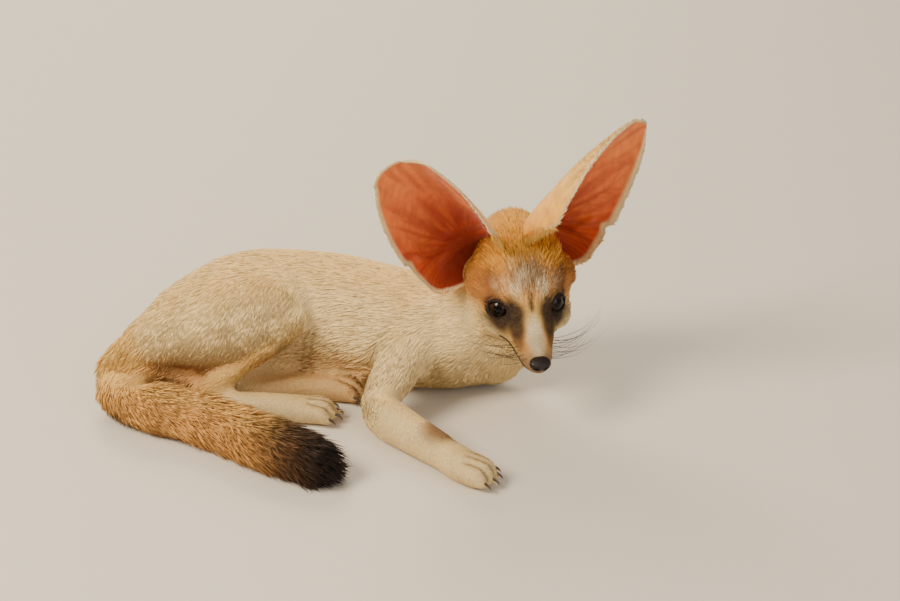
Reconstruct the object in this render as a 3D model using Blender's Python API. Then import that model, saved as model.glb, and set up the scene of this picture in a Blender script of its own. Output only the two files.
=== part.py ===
"""A fennec fox at rest, life size. It lies curled with its hips rolled over, one foreleg stretched
out, the tail laid round the hind feet, and the head raised and turned to its right.

Lengths are in millimetres and become metres as each mesh is made. +Z is up and the floor is at
zero. -Y is the side that the fox faces, and +X is its front end. The head, the ears and the eyes
are modelled in the head's own axes: forward along the muzzle, to the fox's left, and up.
"""

import math

import bmesh
import bpy
import numpy as np
from mathutils import Matrix, Vector

MM = 0.001
GAP = 0.3
UP = Vector((0, 0, 1))

# Head carriage and the main sizes of the face
HEAD_CENTRE = (96.6, -2.6, 70.5)
HEAD_YAW = 12.0
HEAD_PITCH = 22.0
EYE_RADIUS = 8.0
EYE_PLACE = (-2.6, 15.4, -1.8)
EYE_LOOK = (0.76, 0.49, 0.43)
EYE_OPENING = (7.2, 5.4)
EYE_SLANT = 12.0
LID_THICKNESS = 1.3
NOSE_CENTRE = (41.0, 0.0, -6.0)
NOSE_SIZE = (5.0, 6.6, 4.6)
MOUTH_SLIT = 0.6
LIP_RADIUS = 1.2

# Ears: each has a base, a direction to its tip, a direction out of its cup, and how far its middle
# bows away from the head
EAR_LENGTH = 107.0
EAR_THICKNESS = 1.8
EAR_ROOT = 8.0
EAR_INNER = (0.42, 0.36)
EARS = {
    "ear_right": ((-31, -26, 9), (-8, -55.5, 90.5), (0.94, -0.24, 0.06), 0.5),
    "ear_left": ((-38, 14, 9), (-14, 54, 91.5), (0.85, 0.5, 0.05), -3.5),
}

# Colours of the parts
CREAM = (0.80, 0.64, 0.40)
SAND = (0.78, 0.56, 0.30)
GOLD = (0.62, 0.38, 0.15)
LEATHER = (0.03, 0.02, 0.02)
EAR_SKIN = (0.72, 0.36, 0.22)

# Centre line of each form: x, y, z, half of its width across, half of its height
TORSO = (
    (-140, 2, 31, 16, 24),
    (-122, 13, 34, 27, 34),
    (-102, 28, 36, 36, 39),
    (-75, 45, 39, 41, 42),
    (-45, 50, 38, 42, 41),
    (-15, 46, 37, 42, 40),
    (10, 38, 36, 41, 38),
    (34, 30, 35, 39, 37),
    (58, 25, 34, 33, 35),
    (76, 22, 31, 22, 30),
)
NECK = (
    (44, 30, 38, 33, 31),
    (60, 33, 54, 29, 29),
    (73, 36, 68, 25, 26),
    (81, 39, 80, 21, 23),
    (86, 41, 90, 17, 19),
)
SKULL = (
    (-48, 0, 6, 22, 22),
    (-38, 0, 5.5, 28, 26),
    (-26, 0, 3.5, 30.5, 26.5),
    (-13, 0, 0.5, 29, 24),
    (0, 0, -3, 24.5, 18.5),
    (9, 0, -5.5, 19.5, 14.5),
    (18, 0, -7.5, 15.6, 12),
    (28, 0, -9, 12.4, 10),
    (36, 0, -9.8, 10, 8.2),
    (40, 0, -10, 7.6, 6.4),
)
JAW = (
    (-16, 0, -15, 22, 10),
    (8, 0, -17, 16, 7),
    (26, 0, -17.6, 10, 5),
    (37, 0, -17, 6.4, 3.8),
)
THIGH_RIGHT = (
    (-128, 1, 40, 15, 15),
    (-112, 7, 46, 27, 20),
    (-88, 15, 53, 34, 22),
    (-65, 21, 57, 31, 21),
    (-50, 23, 59, 22, 16),
)
THIGH_LEFT = (
    (-128, 8, 21, 14, 18),
    (-106, 9, 17, 18, 20),
    (-82, 17, 15, 17, 18),
    (-60, 24, 13, 13, 16),
)
SHANK_RIGHT = (
    (-44, 11, 54, 10, 12),
    (-58, 1, 44, 9.5, 11),
    (-78, -8, 31, 8, 9),
    (-95, -13, 21, 8, 8.5),
    (-103, -15, 15, 8, 9),
)
SHANK_LEFT = (
    (-50, 20, 9.5, 12, 13),
    (-66, 9, 8.5, 10.5, 12),
    (-82, 1, 8.5, 9, 11.5),
)
FOOT_RIGHT = (
    (-104, -16, 9, 8, 11),
    (-82, -18, 9, 8.5, 11),
    (-56, -19, 8.5, 10, 10.5),
    (-28, -21, 7.5, 11.5, 9.5),
)
FOOT_LEFT = (
    (-78, -1, 8, 8, 10),
    (-56, 5, 8, 9, 10),
    (-34, 7, 8, 9.5, 10),
    (-10, 5, 7.5, 10.5, 9.5),
)
ARM_RIGHT = (
    (41, 32, 58, 17, 13),
    (34, 16, 50, 21, 18),
    (23, -4, 37, 19, 16),
    (10, -24, 22, 15, 16),
)
FOREARM_RIGHT = (
    (5, -22, 15, 11, 15),
    (9, -38, 15, 13, 17),
    (29, -59, 12.5, 12.5, 15),
    (45, -75, 11, 11.5, 13.5),
)
FOREPAW_RIGHT = (
    (46, -76, 10.5, 11, 13),
    (56, -87, 9.5, 11.5, 12),
    (68, -95, 8, 12.5, 10.5),
)
ARM_LEFT = (
    (42, 52, 34, 16, 15),
    (28, 60, 24, 15, 14),
    (16, 62, 14, 13, 15),
)
FOREARM_LEFT = (
    (14, 62, 11, 11, 14),
    (38, 56, 10, 11, 13),
    (60, 50, 9, 10.5, 12),
)
FOREPAW_LEFT = (
    (60, 50, 8.5, 10.5, 11.5),
    (72, 47, 8, 11, 10.5),
)
TAIL = (
    (-144, 12, 40, 9, 9.5),
    (-154, 3, 28, 13, 13),
    (-151, -11, 17, 17, 17),
    (-131, -27, 15, 16.5, 17.5),
    (-109, -37, 14, 15.5, 17.5),
    (-87, -50, 15, 16.5, 18.5),
    (-68, -64, 15.5, 18, 19.5),
    (-48, -77, 15.5, 19, 19.5),
    (-31, -88, 15, 17, 18),
    (-18, -94, 12, 12, 13.5),
)
# Locks of the tail's brush: where the first and the last one start along the tail, their number,
# length, half width and half thickness, and the turn from each to the next
LOCK_REACH = (0.465, 0.97)
LOCK_COUNT = 39
LOCK_LENGTH = 38.0
LOCK_WIDTH = 10.0
LOCK_THICKNESS = 1.5
LOCK_TURN = 137.5
LOCK_SEED = 3
# The share of the tail's girth that its core fills, and where along the tail it thins to that
TAIL_CORE = 0.5
CORE_TAPER = (0.49, 0.12)
# A lock from root to tip: share of its length, share of the tail's girth that it has reached, width
LOCK_SHAPE = (
    (0.00, 0.34, 0.6),
    (0.38, 0.86, 1.0),
    (0.74, 0.98, 0.78),
    (1.00, 0.99, 0.0),
)
TAIL_LENGTH = 232.0
TAIL_END = 16.0
TAIL_STEPS = 60
TAIL_LIFT = (0.3, -0.3, 1)
# Where the neck parts from the torso and the brush from the root of the tail: a point and a
# direction. Where the near limbs are let out of the torso: the centre of an oval plug, its outward
# and long directions, its half sizes and its depth
NECK_BORDER = ((62, 32, 62), (0.5, 0.1, 0.86))
TAIL_BORDER = ((-129, -26, 15), (0.86, -0.5, 0))
THIGH_PLUG = ((-87, 8, 50), (0, -0.66, 0.75), (1, 0.14, 0.16), (46, 36), 22)
ARM_PLUG = ((20, -6, 36), (0.25, -0.72, 0.65), (-0.5, -0.62, -0.6), (46, 24), 20)
# Ear, from the base to the tip: share of the length, half width, half angle of the cup, set back.
# Its inner edge starts at a share of that angle and takes all of it from a height up.
EAR_SHAPE = (
    (0.00, 12.5, 132, 13),
    (0.12, 24, 116, 13),
    (0.26, 27, 101, 12),
    (0.42, 29.8, 86, 10),
    (0.60, 28.6, 73, 8),
    (0.76, 24.6, 58.5, 5),
    (0.89, 17.8, 45, 2),
    (0.97, 10.5, 34.5, 0),
    (1.00, 2.8, 29, 0),
)


def clear_scene():
    """Empties the scene."""
    for item in list(bpy.data.objects):
        bpy.data.objects.remove(item, do_unlink=True)


def link(name, mesh):
    """Puts a mesh in the scene as an object."""
    item = bpy.data.objects.new(name, mesh)
    bpy.context.scene.collection.objects.link(item)
    return item


def drop(*items):
    """Removes helpers from the scene."""
    for item in items:
        bpy.data.objects.remove(item, do_unlink=True)


def finish_mesh(name, bm):
    """Turns a bmesh in millimetres into an object in metres, with its faces pointing out."""
    bmesh.ops.recalc_face_normals(bm, faces=bm.faces)
    bmesh.ops.scale(bm, vec=(MM, MM, MM), verts=bm.verts)
    mesh = bpy.data.meshes.new(name)
    bm.to_mesh(mesh)
    bm.free()
    return link(name, mesh)


def smooth_stations(stations, count):
    """Catmull-Rom curve through the stations, read at an even count of places."""
    knots = np.array(stations, float)
    padded = np.vstack([2 * knots[0] - knots[1], knots, 2 * knots[-1] - knots[-2]])
    place = np.linspace(0, len(knots) - 1, count)
    index = np.minimum(place.astype(int), len(knots) - 2)
    t = (place - index)[:, None]
    p0, p1, p2, p3 = (padded[index + shift] for shift in range(4))
    return 0.5 * (
        2 * p1
        + (p2 - p0) * t
        + (2 * p0 - 5 * p1 + 4 * p2 - p3) * t**2
        + (3 * p1 - p0 - 3 * p2 + p3) * t**3
    )


def cross_axes(centres, lift):
    """Along, across and upward directions of each ring on a line of centres."""
    along = np.gradient(centres, axis=0)
    along /= np.linalg.norm(along, axis=1)[:, None]
    across = np.cross(np.array(lift, float), along)
    across /= np.linalg.norm(across, axis=1)[:, None]
    return along, across, np.cross(along, across)


def bridge(bm, loops):
    """Joins rings of vertices, one after the other, and closes both ends with a fan."""
    sides = len(loops[0])
    for low, high in zip(loops, loops[1:]):
        for k in range(sides):
            n = (k + 1) % sides
            bm.faces.new((low[k], low[n], high[n], high[k]))
    for ring in (loops[0], loops[-1]):
        middle = bm.verts.new(sum((v.co for v in ring), Vector()) / sides)
        for k in range(sides):
            bm.faces.new((ring[k], ring[(k + 1) % sides], middle))


def tube(stations, sides=16, rings=14, lift=UP, end=0.9, rounding=(0.45, 0.8, 0.98)):
    """Closed round-ended form: elliptical rings carried along a smooth line through the stations.
    end says how far the rounded ends reach, as a share of the last ring's height, and rounding
    at which shares of that reach they have their rings."""
    read = smooth_stations(stations, rings)
    centres, halves = read[:, :3], read[:, 3:5]
    along, across, upward = cross_axes(centres, lift)
    order = [(0, -step) for step in reversed(rounding)]
    order += [(i, 0) for i in range(rings)]
    order += [(rings - 1, step) for step in rounding]
    turn = np.linspace(0, 2 * math.pi, sides, endpoint=False)[:, None]
    bm = bmesh.new()
    loops = []
    for i, step in order:
        half = halves[i] * math.sqrt(1 - step**2)
        centre = centres[i] + along[i] * step * end * halves[i, 1]
        ring = centre + across[i] * half[0] * np.cos(turn) + upward[i] * half[1] * np.sin(turn)
        loops.append([bm.verts.new(point) for point in ring])
    bridge(bm, loops)
    return bm


def ball(centre, radii, detail=3):
    """Closed ellipsoid."""
    bm = bmesh.new()
    bmesh.ops.create_icosphere(bm, subdivisions=detail, radius=1)
    bmesh.ops.scale(bm, vec=radii, verts=bm.verts)
    bmesh.ops.translate(bm, vec=centre, verts=bm.verts)
    return bm


def mirrored_balls(*forms, detail=3):
    """Ellipsoids on both sides of the head, each given by its centre and radii on the left."""
    for (a, b, c), radii in forms:
        yield ball((a, b, c), radii, detail)
        yield ball((a, -b, c), radii, detail)


def joined(pieces):
    """One bmesh that holds several closed pieces, which may overlap."""
    whole = bmesh.new()
    for piece in pieces:
        mesh = bpy.data.meshes.new("piece")
        piece.to_mesh(mesh)
        piece.free()
        whole.from_mesh(mesh)
        bpy.data.meshes.remove(mesh)
    return whole


def apply_modifiers(item):
    """Gives an object its evaluated mesh and clears its modifiers."""
    bpy.context.view_layer.update()
    graph = bpy.context.evaluated_depsgraph_get()
    mesh = bpy.data.meshes.new_from_object(item.evaluated_get(graph))
    old = item.data
    item.modifiers.clear()
    item.data = mesh
    bpy.data.meshes.remove(old)
    return item


def clay(name, pieces, voxel, smoothing, triangles):
    """Fuses overlapping closed pieces into one smooth body of about so many triangles."""
    item = finish_mesh(name, joined(pieces))
    remesh = item.modifiers.new("fuse", "REMESH")
    remesh.mode = "VOXEL"
    remesh.voxel_size = voxel * MM
    smooth = item.modifiers.new("blend", "SMOOTH")
    smooth.factor = 0.5
    smooth.iterations = smoothing
    apply_modifiers(item)
    thin = item.modifiers.new("thin", "DECIMATE")
    thin.ratio = min(1.0, triangles / (2 * len(item.data.polygons)))
    return apply_modifiers(item)


def combine(item, tool, operation):
    """Booleans a tool into an object."""
    modifier = item.modifiers.new(operation.lower(), "BOOLEAN")
    modifier.object = tool
    modifier.operation = operation
    modifier.solver = "EXACT"
    return apply_modifiers(item)


def use(item, operation, *forms):
    """Booleans several bmesh forms into an object, one after the other."""
    for form in forms:
        tool = finish_mesh("tool", form)
        combine(item, tool, operation)
        drop(tool)
    return item


def fuse(item, forms):
    """Joins closed forms to an object by one union on a collection of them."""
    group = bpy.data.collections.new("forms")
    bpy.context.scene.collection.children.link(group)
    for form in forms:
        tool = finish_mesh("form", form)
        bpy.context.scene.collection.objects.unlink(tool)
        group.objects.link(tool)
    modifier = item.modifiers.new("union", "BOOLEAN")
    modifier.operand_type = "COLLECTION"
    modifier.collection = group
    modifier.operation = "UNION"
    modifier.solver = "EXACT"
    apply_modifiers(item)
    drop(*group.objects)
    bpy.data.collections.remove(group)
    return keep_largest(item)


def swollen(item, by=GAP):
    """A copy of an object whose surface stands out by a small distance."""
    mesh = item.data.copy()
    points = np.empty(len(mesh.vertices) * 3)
    normals = np.empty(len(mesh.vertices) * 3)
    mesh.vertices.foreach_get("co", points)
    mesh.vertices.foreach_get("normal", normals)
    mesh.vertices.foreach_set("co", points + by * MM * normals)
    mesh.update()
    return link(item.name + "_swollen", mesh)


def connected_groups(bm):
    """Vertices of each separate surface."""
    seen, groups = set(), []
    for start in bm.verts:
        if start in seen:
            continue
        seen.add(start)
        stack, group = [start], []
        while stack:
            vert = stack.pop()
            group.append(vert)
            fresh = [e.other_vert(vert) for e in vert.link_edges if e.other_vert(vert) not in seen]
            seen.update(fresh)
            stack += fresh
        groups.append(group)
    return groups


def keep_largest(item):
    """Keeps only the closed surface that fills the largest box."""
    bm = bmesh.new()
    bm.from_mesh(item.data)

    def box_volume(group):
        points = np.array([vert.co for vert in group])
        return float(np.prod(np.ptp(points, axis=0)))

    groups = sorted(connected_groups(bm), key=box_volume)
    loose = [vert for group in groups[:-1] for vert in group]
    bmesh.ops.delete(bm, geom=loose, context="VERTS")
    bm.to_mesh(item.data)
    bm.free()
    return item


def trim(item, *others):
    """Cuts an object back from its finished neighbours, which leaves a thin gap between them."""
    for other in others:
        tool = swollen(other)
        combine(item, tool, "DIFFERENCE")
        drop(tool)
    return keep_largest(item)


def half_space(point, normal, size=400.0):
    """A large box whose one face passes through a point and whose body lies along the normal."""
    bm = bmesh.new()
    bmesh.ops.create_cube(bm, size=size)
    bmesh.ops.translate(bm, vec=(0, 0, size / 2), verts=bm.verts)
    turn = Vector(normal).normalized().to_track_quat("Z", "Y").to_matrix()
    bmesh.ops.rotate(bm, matrix=turn, verts=bm.verts)
    bmesh.ops.translate(bm, vec=point, verts=bm.verts)
    return bm


def keep_side(item, point, normal):
    """Keeps the part of an object that lies along the normal from a point."""
    return keep_largest(use(item, "INTERSECT", half_space(point, normal)))


def split(item, name, point, normal):
    """Parts an object in two with a thin gap. The side along the normal gets the new name."""
    far = link(name, item.data.copy())
    way = Vector(normal).normalized()
    keep_side(far, Vector(point) + way * GAP / 2, way)
    keep_side(item, Vector(point) - way * GAP / 2, -way)
    return far


def plug(centre, outward, along, halves, depth, by=0.0):
    """Cutter for a part that is let into the body: an oval plug that stands square to the skin.
    It reaches to a depth below its centre and far out past the skin."""
    outward = Vector(outward).normalized()
    across = outward.cross(Vector(along)).normalized()
    tall = 90 + depth + by
    bm = bmesh.new()
    bmesh.ops.create_cone(bm, cap_ends=True, segments=24, radius1=1, radius2=1, depth=tall)
    bmesh.ops.scale(bm, vec=(halves[0] + by, halves[1] + by, 1), verts=bm.verts)
    bmesh.ops.translate(bm, vec=(0, 0, tall / 2 - depth - by), verts=bm.verts)
    turn = Matrix((across.cross(outward), across, outward)).transposed()
    bmesh.ops.rotate(bm, matrix=turn, verts=bm.verts)
    bmesh.ops.translate(bm, vec=centre, verts=bm.verts)
    return bm


def let_out(body, name, *shape):
    """Takes a limb's root out of the body as a part of its own, with a thin gap all round."""
    part = link(name, body.data.copy())
    use(part, "INTERSECT", plug(*shape))
    use(body, "DIFFERENCE", plug(*shape, by=GAP))
    keep_largest(body)
    return keep_largest(part)


def rest_on_floor(parts):
    """Flattens whatever reaches under the floor."""
    for part in parts:
        if min(corner[2] for corner in part.bound_box) < 0:
            keep_side(part, (0, 0, 0), UP)


def head_axes():
    """Rotation from the head's own axes to the world's."""
    yaw, pitch = math.radians(HEAD_YAW), math.radians(HEAD_PITCH)
    heading = Vector((math.sin(yaw), -math.cos(yaw), 0))
    forward = heading * math.cos(pitch) - UP * math.sin(pitch)
    left = Vector((math.cos(yaw), math.sin(yaw), 0))
    return Matrix((forward, left, forward.cross(left))).transposed()


def place_on_head(item):
    """Turns and moves an object from the head's axes to its place in the world."""
    matrix = head_axes().to_4x4()
    matrix.translation = Vector(HEAD_CENTRE) * MM
    item.data.transform(matrix)
    item.data.update()
    return item


def eye_frame(side):
    """Centre of an eye and its outward, corner and lid directions; side is 1 on the left."""
    look = Vector((EYE_LOOK[0], side * EYE_LOOK[1], EYE_LOOK[2])).normalized()
    across = UP.cross(look).normalized()
    upward = look.cross(across)
    slant = math.radians(EYE_SLANT) * side
    corner = across * math.cos(slant) + upward * math.sin(slant)
    return Vector((EYE_PLACE[0], side * EYE_PLACE[1], EYE_PLACE[2])), look, corner, look.cross(corner)


def almond(side, points=9):
    """Cutter for the opening between the lids: an almond outline drawn out along the gaze."""
    centre, look, corner, upward = eye_frame(side)
    wide, high = EYE_OPENING
    shares = np.cos(np.linspace(math.pi, 0, points))
    arch = np.sqrt(np.maximum(0, 1 - shares**2)) ** 1.3
    outline = [(wide * s, high * a) for s, a in zip(shares, arch)]
    outline += [(wide * s, -0.85 * high * a) for s, a in zip(shares[-2:0:-1], arch[-2:0:-1])]
    bm = bmesh.new()
    loops = []
    for reach, spread in ((0.0, 1.0), (16.0, 1.15)):
        rim = [centre + look * reach + (corner * s + upward * u) * spread for s, u in outline]
        loops.append([bm.verts.new(point) for point in rim])
    bridge(bm, loops)
    return bm


def mouth_line(a):
    """Height of the closed mouth along the muzzle: it dips behind the nose and rises to its corner."""
    return -14.0 - 1.6 * math.sin(math.pi * min(max((a - 8) / 34, 0), 1)) + 0.02 * (30 - a)


def mouth_slit(steps=8):
    """Cutter for the line of the mouth: a thin plate that follows its height back to the corners."""
    bm = bmesh.new()
    loops = []
    for a in np.linspace(9, 52, steps):
        low, high = mouth_line(a) - MOUTH_SLIT / 2, mouth_line(a) + MOUTH_SLIT / 2
        corners = ((a, -30, low), (a, 30, low), (a, 30, high), (a, -30, high))
        loops.append([bm.verts.new(point) for point in corners])
    bridge(bm, loops)
    return bm


def lip(head, side, upper):
    """One lip: a slim roll laid on the skin of the muzzle, just above or below the slit."""
    rows = []
    drop_by = LIP_RADIUS * (0.75 if upper else -0.75)
    for a in np.linspace(8, 39, 7):
        height = mouth_line(a) + drop_by
        start = Vector((a, side * 40, height)) * MM
        hit, place, _, _ = head.ray_cast(start, Vector((0, -side, 0)))
        place = place / MM if hit else Vector((a, side * 6, height))
        thick = LIP_RADIUS * (1.0 if upper else 0.8)
        rows.append((a, place.y - side * 0.45 * LIP_RADIUS, height, thick, thick))
    return tube(rows, sides=6, rings=8, rounding=(0.8,))


def make_head():
    """Skull with brows, cheeks, muzzle, jaw, lids and lips, in the head's axes."""
    pieces = [tube(SKULL, sides=24, rings=24)]
    pieces.append(tube(JAW))
    pieces += mirrored_balls(
        ((-22, 16, -12), (23, 18, 15)),
        ((-9, 19, -15), (19, 13, 11)),
        ((-22, 25, 2), (14, 11, 12)),
        ((-5, 11, 7), (11, 9, 5)),
        ((-1, 16, -9), (14, 8, 6)),
        ((32, 5.2, -10.5), (9, 5.8, 5.2)),
    )
    head = clay("head", pieces, 1.3, 12, 1050)
    for side in (-1, 1):
        centre = eye_frame(side)[0]
        use(head, "UNION", ball(centre, (EYE_RADIUS + GAP + LID_THICKNESS,) * 3))
        use(head, "UNION", lip(head, side, True), lip(head, side, False))
        use(head, "DIFFERENCE", almond(side), ball(centre, (EYE_RADIUS + GAP,) * 3))
    use(head, "DIFFERENCE", mouth_slit(), ball(NOSE_CENTRE, [r + GAP for r in NOSE_SIZE]))
    return place_on_head(keep_largest(head))


def make_nose():
    """Leathery nose pad with two nostrils and the groove between them."""
    nose = finish_mesh("nose", ball(NOSE_CENTRE, NOSE_SIZE))
    a, b, c = NOSE_CENTRE
    pits = mirrored_balls(((a + 4.0, b + 3.3, c - 0.6), (2.6, 1.3, 1.5)), detail=1)
    use(nose, "DIFFERENCE", *pits, ball((a + 5, b, c - 2.6), (1.4, 0.4, 3.0), detail=1))
    return place_on_head(keep_largest(nose))


def make_eye(name, side):
    """Eyeball."""
    return place_on_head(finish_mesh(name, ball(eye_frame(side)[0], (EYE_RADIUS,) * 3)))


def make_ear(name, rows=13, columns=8):
    """Cup of an ear: an arc that opens from nearly a tube at the base to a shallow blade at the
    tip, carried along the ear's length and then given its thickness."""
    base, lean, facing = (Vector(value) for value in EARS[name][:3])
    bow = EARS[name][3]
    axis = lean.normalized()
    facing = (facing - axis * facing.dot(axis)).normalized()
    across = axis.cross(facing)
    outward = across if across.y * base.y > 0 else -across
    bm = bmesh.new()
    grid = []
    for t, half_width, half_angle, back in smooth_stations(EAR_SHAPE, rows):
        reach = math.radians(half_angle)
        radius = half_width / math.sin(min(reach, math.pi / 2))
        middle = base + axis * (EAR_LENGTH * t - EAR_ROOT * (1 - t))
        middle += outward * bow * math.sin(math.pi * t) + facing * (radius - back)
        start, height = EAR_INNER
        inner = reach * min(start + (1 - start) * t / height, 1)
        turn = np.linspace(-inner, reach, columns + 1) * (1 if outward == across else -1)
        row = [middle + across * radius * math.sin(a) - facing * radius * math.cos(a) for a in turn]
        grid.append([bm.verts.new(point) for point in row])
    for low, high in zip(grid, grid[1:]):
        for j in range(columns):
            bm.faces.new((low[j], low[j + 1], high[j + 1], high[j]))
    ear = finish_mesh(name, bm)
    shell = ear.modifiers.new("thickness", "SOLIDIFY")
    shell.thickness = EAR_THICKNESS * MM
    shell.offset = 0
    return place_on_head(apply_modifiers(ear))


def toe_centres(tip, heading, across, size, count=4):
    """Root and direction of each toe, fanned over the front of a paw."""
    for share in np.linspace(-1, 1, count):
        root = Vector(tip) + across * share * size * 0.56 - heading * size * (0.25 + 0.25 * share**2)
        yield root, (heading + across * share * 0.18).normalized()


def toes(tip, heading, across, size):
    """Toes with their knuckles."""
    for root, way in toe_centres(tip, heading, across, size):
        rows = [
            (*(root - way * size * 0.2 + UP * size * 0.12), size * 0.27, size * 0.4),
            (*(root + way * size * 0.3 + UP * size * 0.14), size * 0.28, size * 0.42),
            (*(root + way * size * 0.72 - UP * size * 0.1), size * 0.26, size * 0.36),
        ]
        yield tube(rows, sides=10, rings=6)


def claws(tip, heading, across, size):
    """Short curved claws, with their roots sunk in the toes."""
    for root, way in toe_centres(tip, heading, across, size):
        rows = [
            (*(root + way * size * 0.78 - UP * size * 0.04), 1.2, 1.4),
            (*(root + way * size * 1.05 - UP * size * 0.12), 0.9, 1.0),
            (*(root + way * size * 1.18 - UP * size * 0.27), 0.4, 0.4),
        ]
        yield tube(rows, sides=5, rings=3, end=0.5, rounding=(0.8,))


def make_paw(name, stations, size, heading, triangles):
    """End of a leg, with toes and claws."""
    heading = Vector(heading).normalized()
    across = UP.cross(heading).normalized()
    tip = Vector(stations[-1][:3])
    pieces = [tube(stations), *toes(tip, heading, across, size)]
    paw = clay(name, pieces, 1.2, 2, triangles)
    return use(paw, "UNION", *claws(tip, heading, across, size))


def make_limb(name, stations, triangles, lift=UP):
    """A plain length of leg."""
    return clay(name, [tube(stations, sides=18, rings=14, lift=lift)], 1.8, 2, triangles)


def tail_line(place):
    """Centre, half sizes and directions of the tail at a share of its length, also past its end,
    where the girth shrinks as a round end does."""
    read = smooth_stations(TAIL, TAIL_STEPS)
    steps = np.linalg.norm(np.diff(read[:, :3], axis=0), axis=1)
    along, across, upward = cross_axes(read[:, :3], TAIL_LIFT)
    at = min(place, 1.0) * (TAIL_STEPS - 1)
    past = max(place - 1.0, 0.0) * steps.sum()
    index = min(int(at), TAIL_STEPS - 2)
    share = at - index

    def between(values):
        return values[index] * (1 - share) + values[index + 1] * share

    halves = between(read[:, 3:5]) * math.sqrt(max(0.0, 1 - (past / TAIL_END) ** 2))
    return between(read[:, :3]) + between(along) * past, halves, between(across), between(upward)


def lock(place, turn, length, width):
    """One flat tapered lock, from inside the core out to the tail's outline: rings of four corners
    that follow the tail's own bend, closed to a point."""
    bm = bmesh.new()
    loops, total = [], 0.0
    for share, out, spread in LOCK_SHAPE:
        centre, halves, across, upward = tail_line(place + share * length / TAIL_LENGTH)
        radial = across * math.cos(turn) + upward * math.sin(turn)
        side = upward * math.cos(turn) - across * math.sin(turn)
        reach = out * (across * halves[0] * math.cos(turn) + upward * halves[1] * math.sin(turn))
        corners = ((width, 0), (0, LOCK_THICKNESS), (-width, 0), (0, -LOCK_THICKNESS))
        points = [centre + reach + (side * u + radial * v) * spread for u, v in corners]
        loops.append([bm.verts.new(point) for point in (points if spread else points[:1])])
    for low, high in zip(loops[:-2], loops[1:-1]):
        for k in range(4):
            bm.faces.new((low[k], low[(k + 1) % 4], high[(k + 1) % 4], high[k]))
    for k in range(4):
        bm.faces.new((loops[-2][k], loops[-2][(k + 1) % 4], loops[-1][0]))
    bm.faces.new(reversed(loops[0]))
    return bm


def tail_locks():
    """Locks over the outer half of the tail, set on a spiral that spreads them evenly round it."""
    draw = np.random.default_rng(LOCK_SEED)
    for count, place in enumerate(np.linspace(*LOCK_REACH, LOCK_COUNT)):
        turn = math.radians(count * LOCK_TURN + draw.uniform(-12, 12))
        length = LOCK_LENGTH * draw.uniform(0.85, 1.12)
        yield lock(place, turn, length, LOCK_WIDTH * draw.uniform(0.9, 1.15))


def make_tail():
    """The core of the whole tail: full round at its root, thinner where the locks stand."""
    rows = []
    for share, row in zip(np.linspace(0, 1, len(TAIL)), TAIL):
        fill = 1 - (1 - TAIL_CORE) * min(max((share - CORE_TAPER[0]) / CORE_TAPER[1], 0), 1)
        rows.append((*row[:3], row[3] * fill, row[4] * fill))
    return clay("tail_base", [tube(rows, sides=16, rings=30, lift=TAIL_LIFT)], 1.8, 2, 460)


def part_tail(tail):
    """Parts the brush from the root of the tail and fuses its locks to it."""
    brush = split(tail, "tail_brush", *TAIL_BORDER)
    return [tail, fuse(brush, tail_locks())]


def material(name, colour, roughness=0.85):
    """Plain surface of one colour."""
    made = bpy.data.materials.new(name)
    made.use_nodes = True
    shader = made.node_tree.nodes["Principled BSDF"]
    shader.inputs["Base Color"].default_value = (*colour, 1)
    shader.inputs["Roughness"].default_value = roughness
    shader.inputs["Metallic"].default_value = 0
    return made


def finish_parts(parts):
    """Shades each part and gives it a material of its own."""
    special = {
        "nose": (LEATHER, 0.4),
        "eye_right": (LEATHER, 0.08),
        "eye_left": (LEATHER, 0.08),
        "ear_right": (EAR_SKIN, 0.7),
        "ear_left": (EAR_SKIN, 0.7),
        "tail_brush": (GOLD, 0.85),
        "tail_base": (SAND, 0.85),
        "neck": (SAND, 0.85),
    }
    for part in parts:
        colour, roughness = special.get(part.name, (CREAM, 0.85))
        part.data.materials.clear()
        part.data.materials.append(material(part.name, colour, roughness))
        part.data.shade_smooth()
        part.data.set_sharp_from_angle(angle=math.radians(40))


def settle(parts):
    """Moves the whole animal so that the middle of its footprint is at the origin."""
    points = np.concatenate([[corner[:] for corner in part.bound_box] for part in parts])
    middle = (points.min(0) + points.max(0)) / 2
    shift = Matrix.Translation((-middle[0], -middle[1], 0))
    for part in parts:
        part.data.transform(shift)


def inner_limbs():
    """The limbs on the far side and under the body, from which the body is cut back."""
    return [
        make_limb("thigh_left", THIGH_LEFT, 200),
        make_limb("shank_left", SHANK_LEFT, 180),
        make_paw("foot_left", FOOT_LEFT, 13, (0.95, -0.3, 0), 290),
        make_limb("upper_arm_left", ARM_LEFT, 180, lift=(0, 1, 0.4)),
        make_limb("forearm_left", FOREARM_LEFT, 180),
        make_paw("forepaw_left", FOREPAW_LEFT, 13, (0.97, -0.22, 0), 270),
    ]


def outer_limbs():
    """The limbs and the tail on the near side, which are cut back from the body."""
    return [
        make_limb("shank_right", SHANK_RIGHT, 260),
        make_paw("foot_right", FOOT_RIGHT, 14, (1, -0.06, 0), 360),
        make_limb("forearm_right", FOREARM_RIGHT, 320),
        make_paw("forepaw_right", FOREPAW_RIGHT, 14, (0.96, -0.28, 0), 380),
        make_tail(),
    ]


def cut_in_turn(forms, neighbours):
    """Copies of some whole forms, each cut back from the neighbours and from the forms before it."""
    cut = []
    for count, form in enumerate(forms):
        part = link(form.name + "_cut", form.data.copy())
        cut.append(trim(part, *neighbours, *forms[:count]))
    return cut


def take_names(parts, forms):
    """Gives the cut parts the names of the whole forms, which are then removed."""
    names = [form.name for form in forms]
    drop(*forms)
    for part, name in zip(parts, names):
        part.name = name


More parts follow.
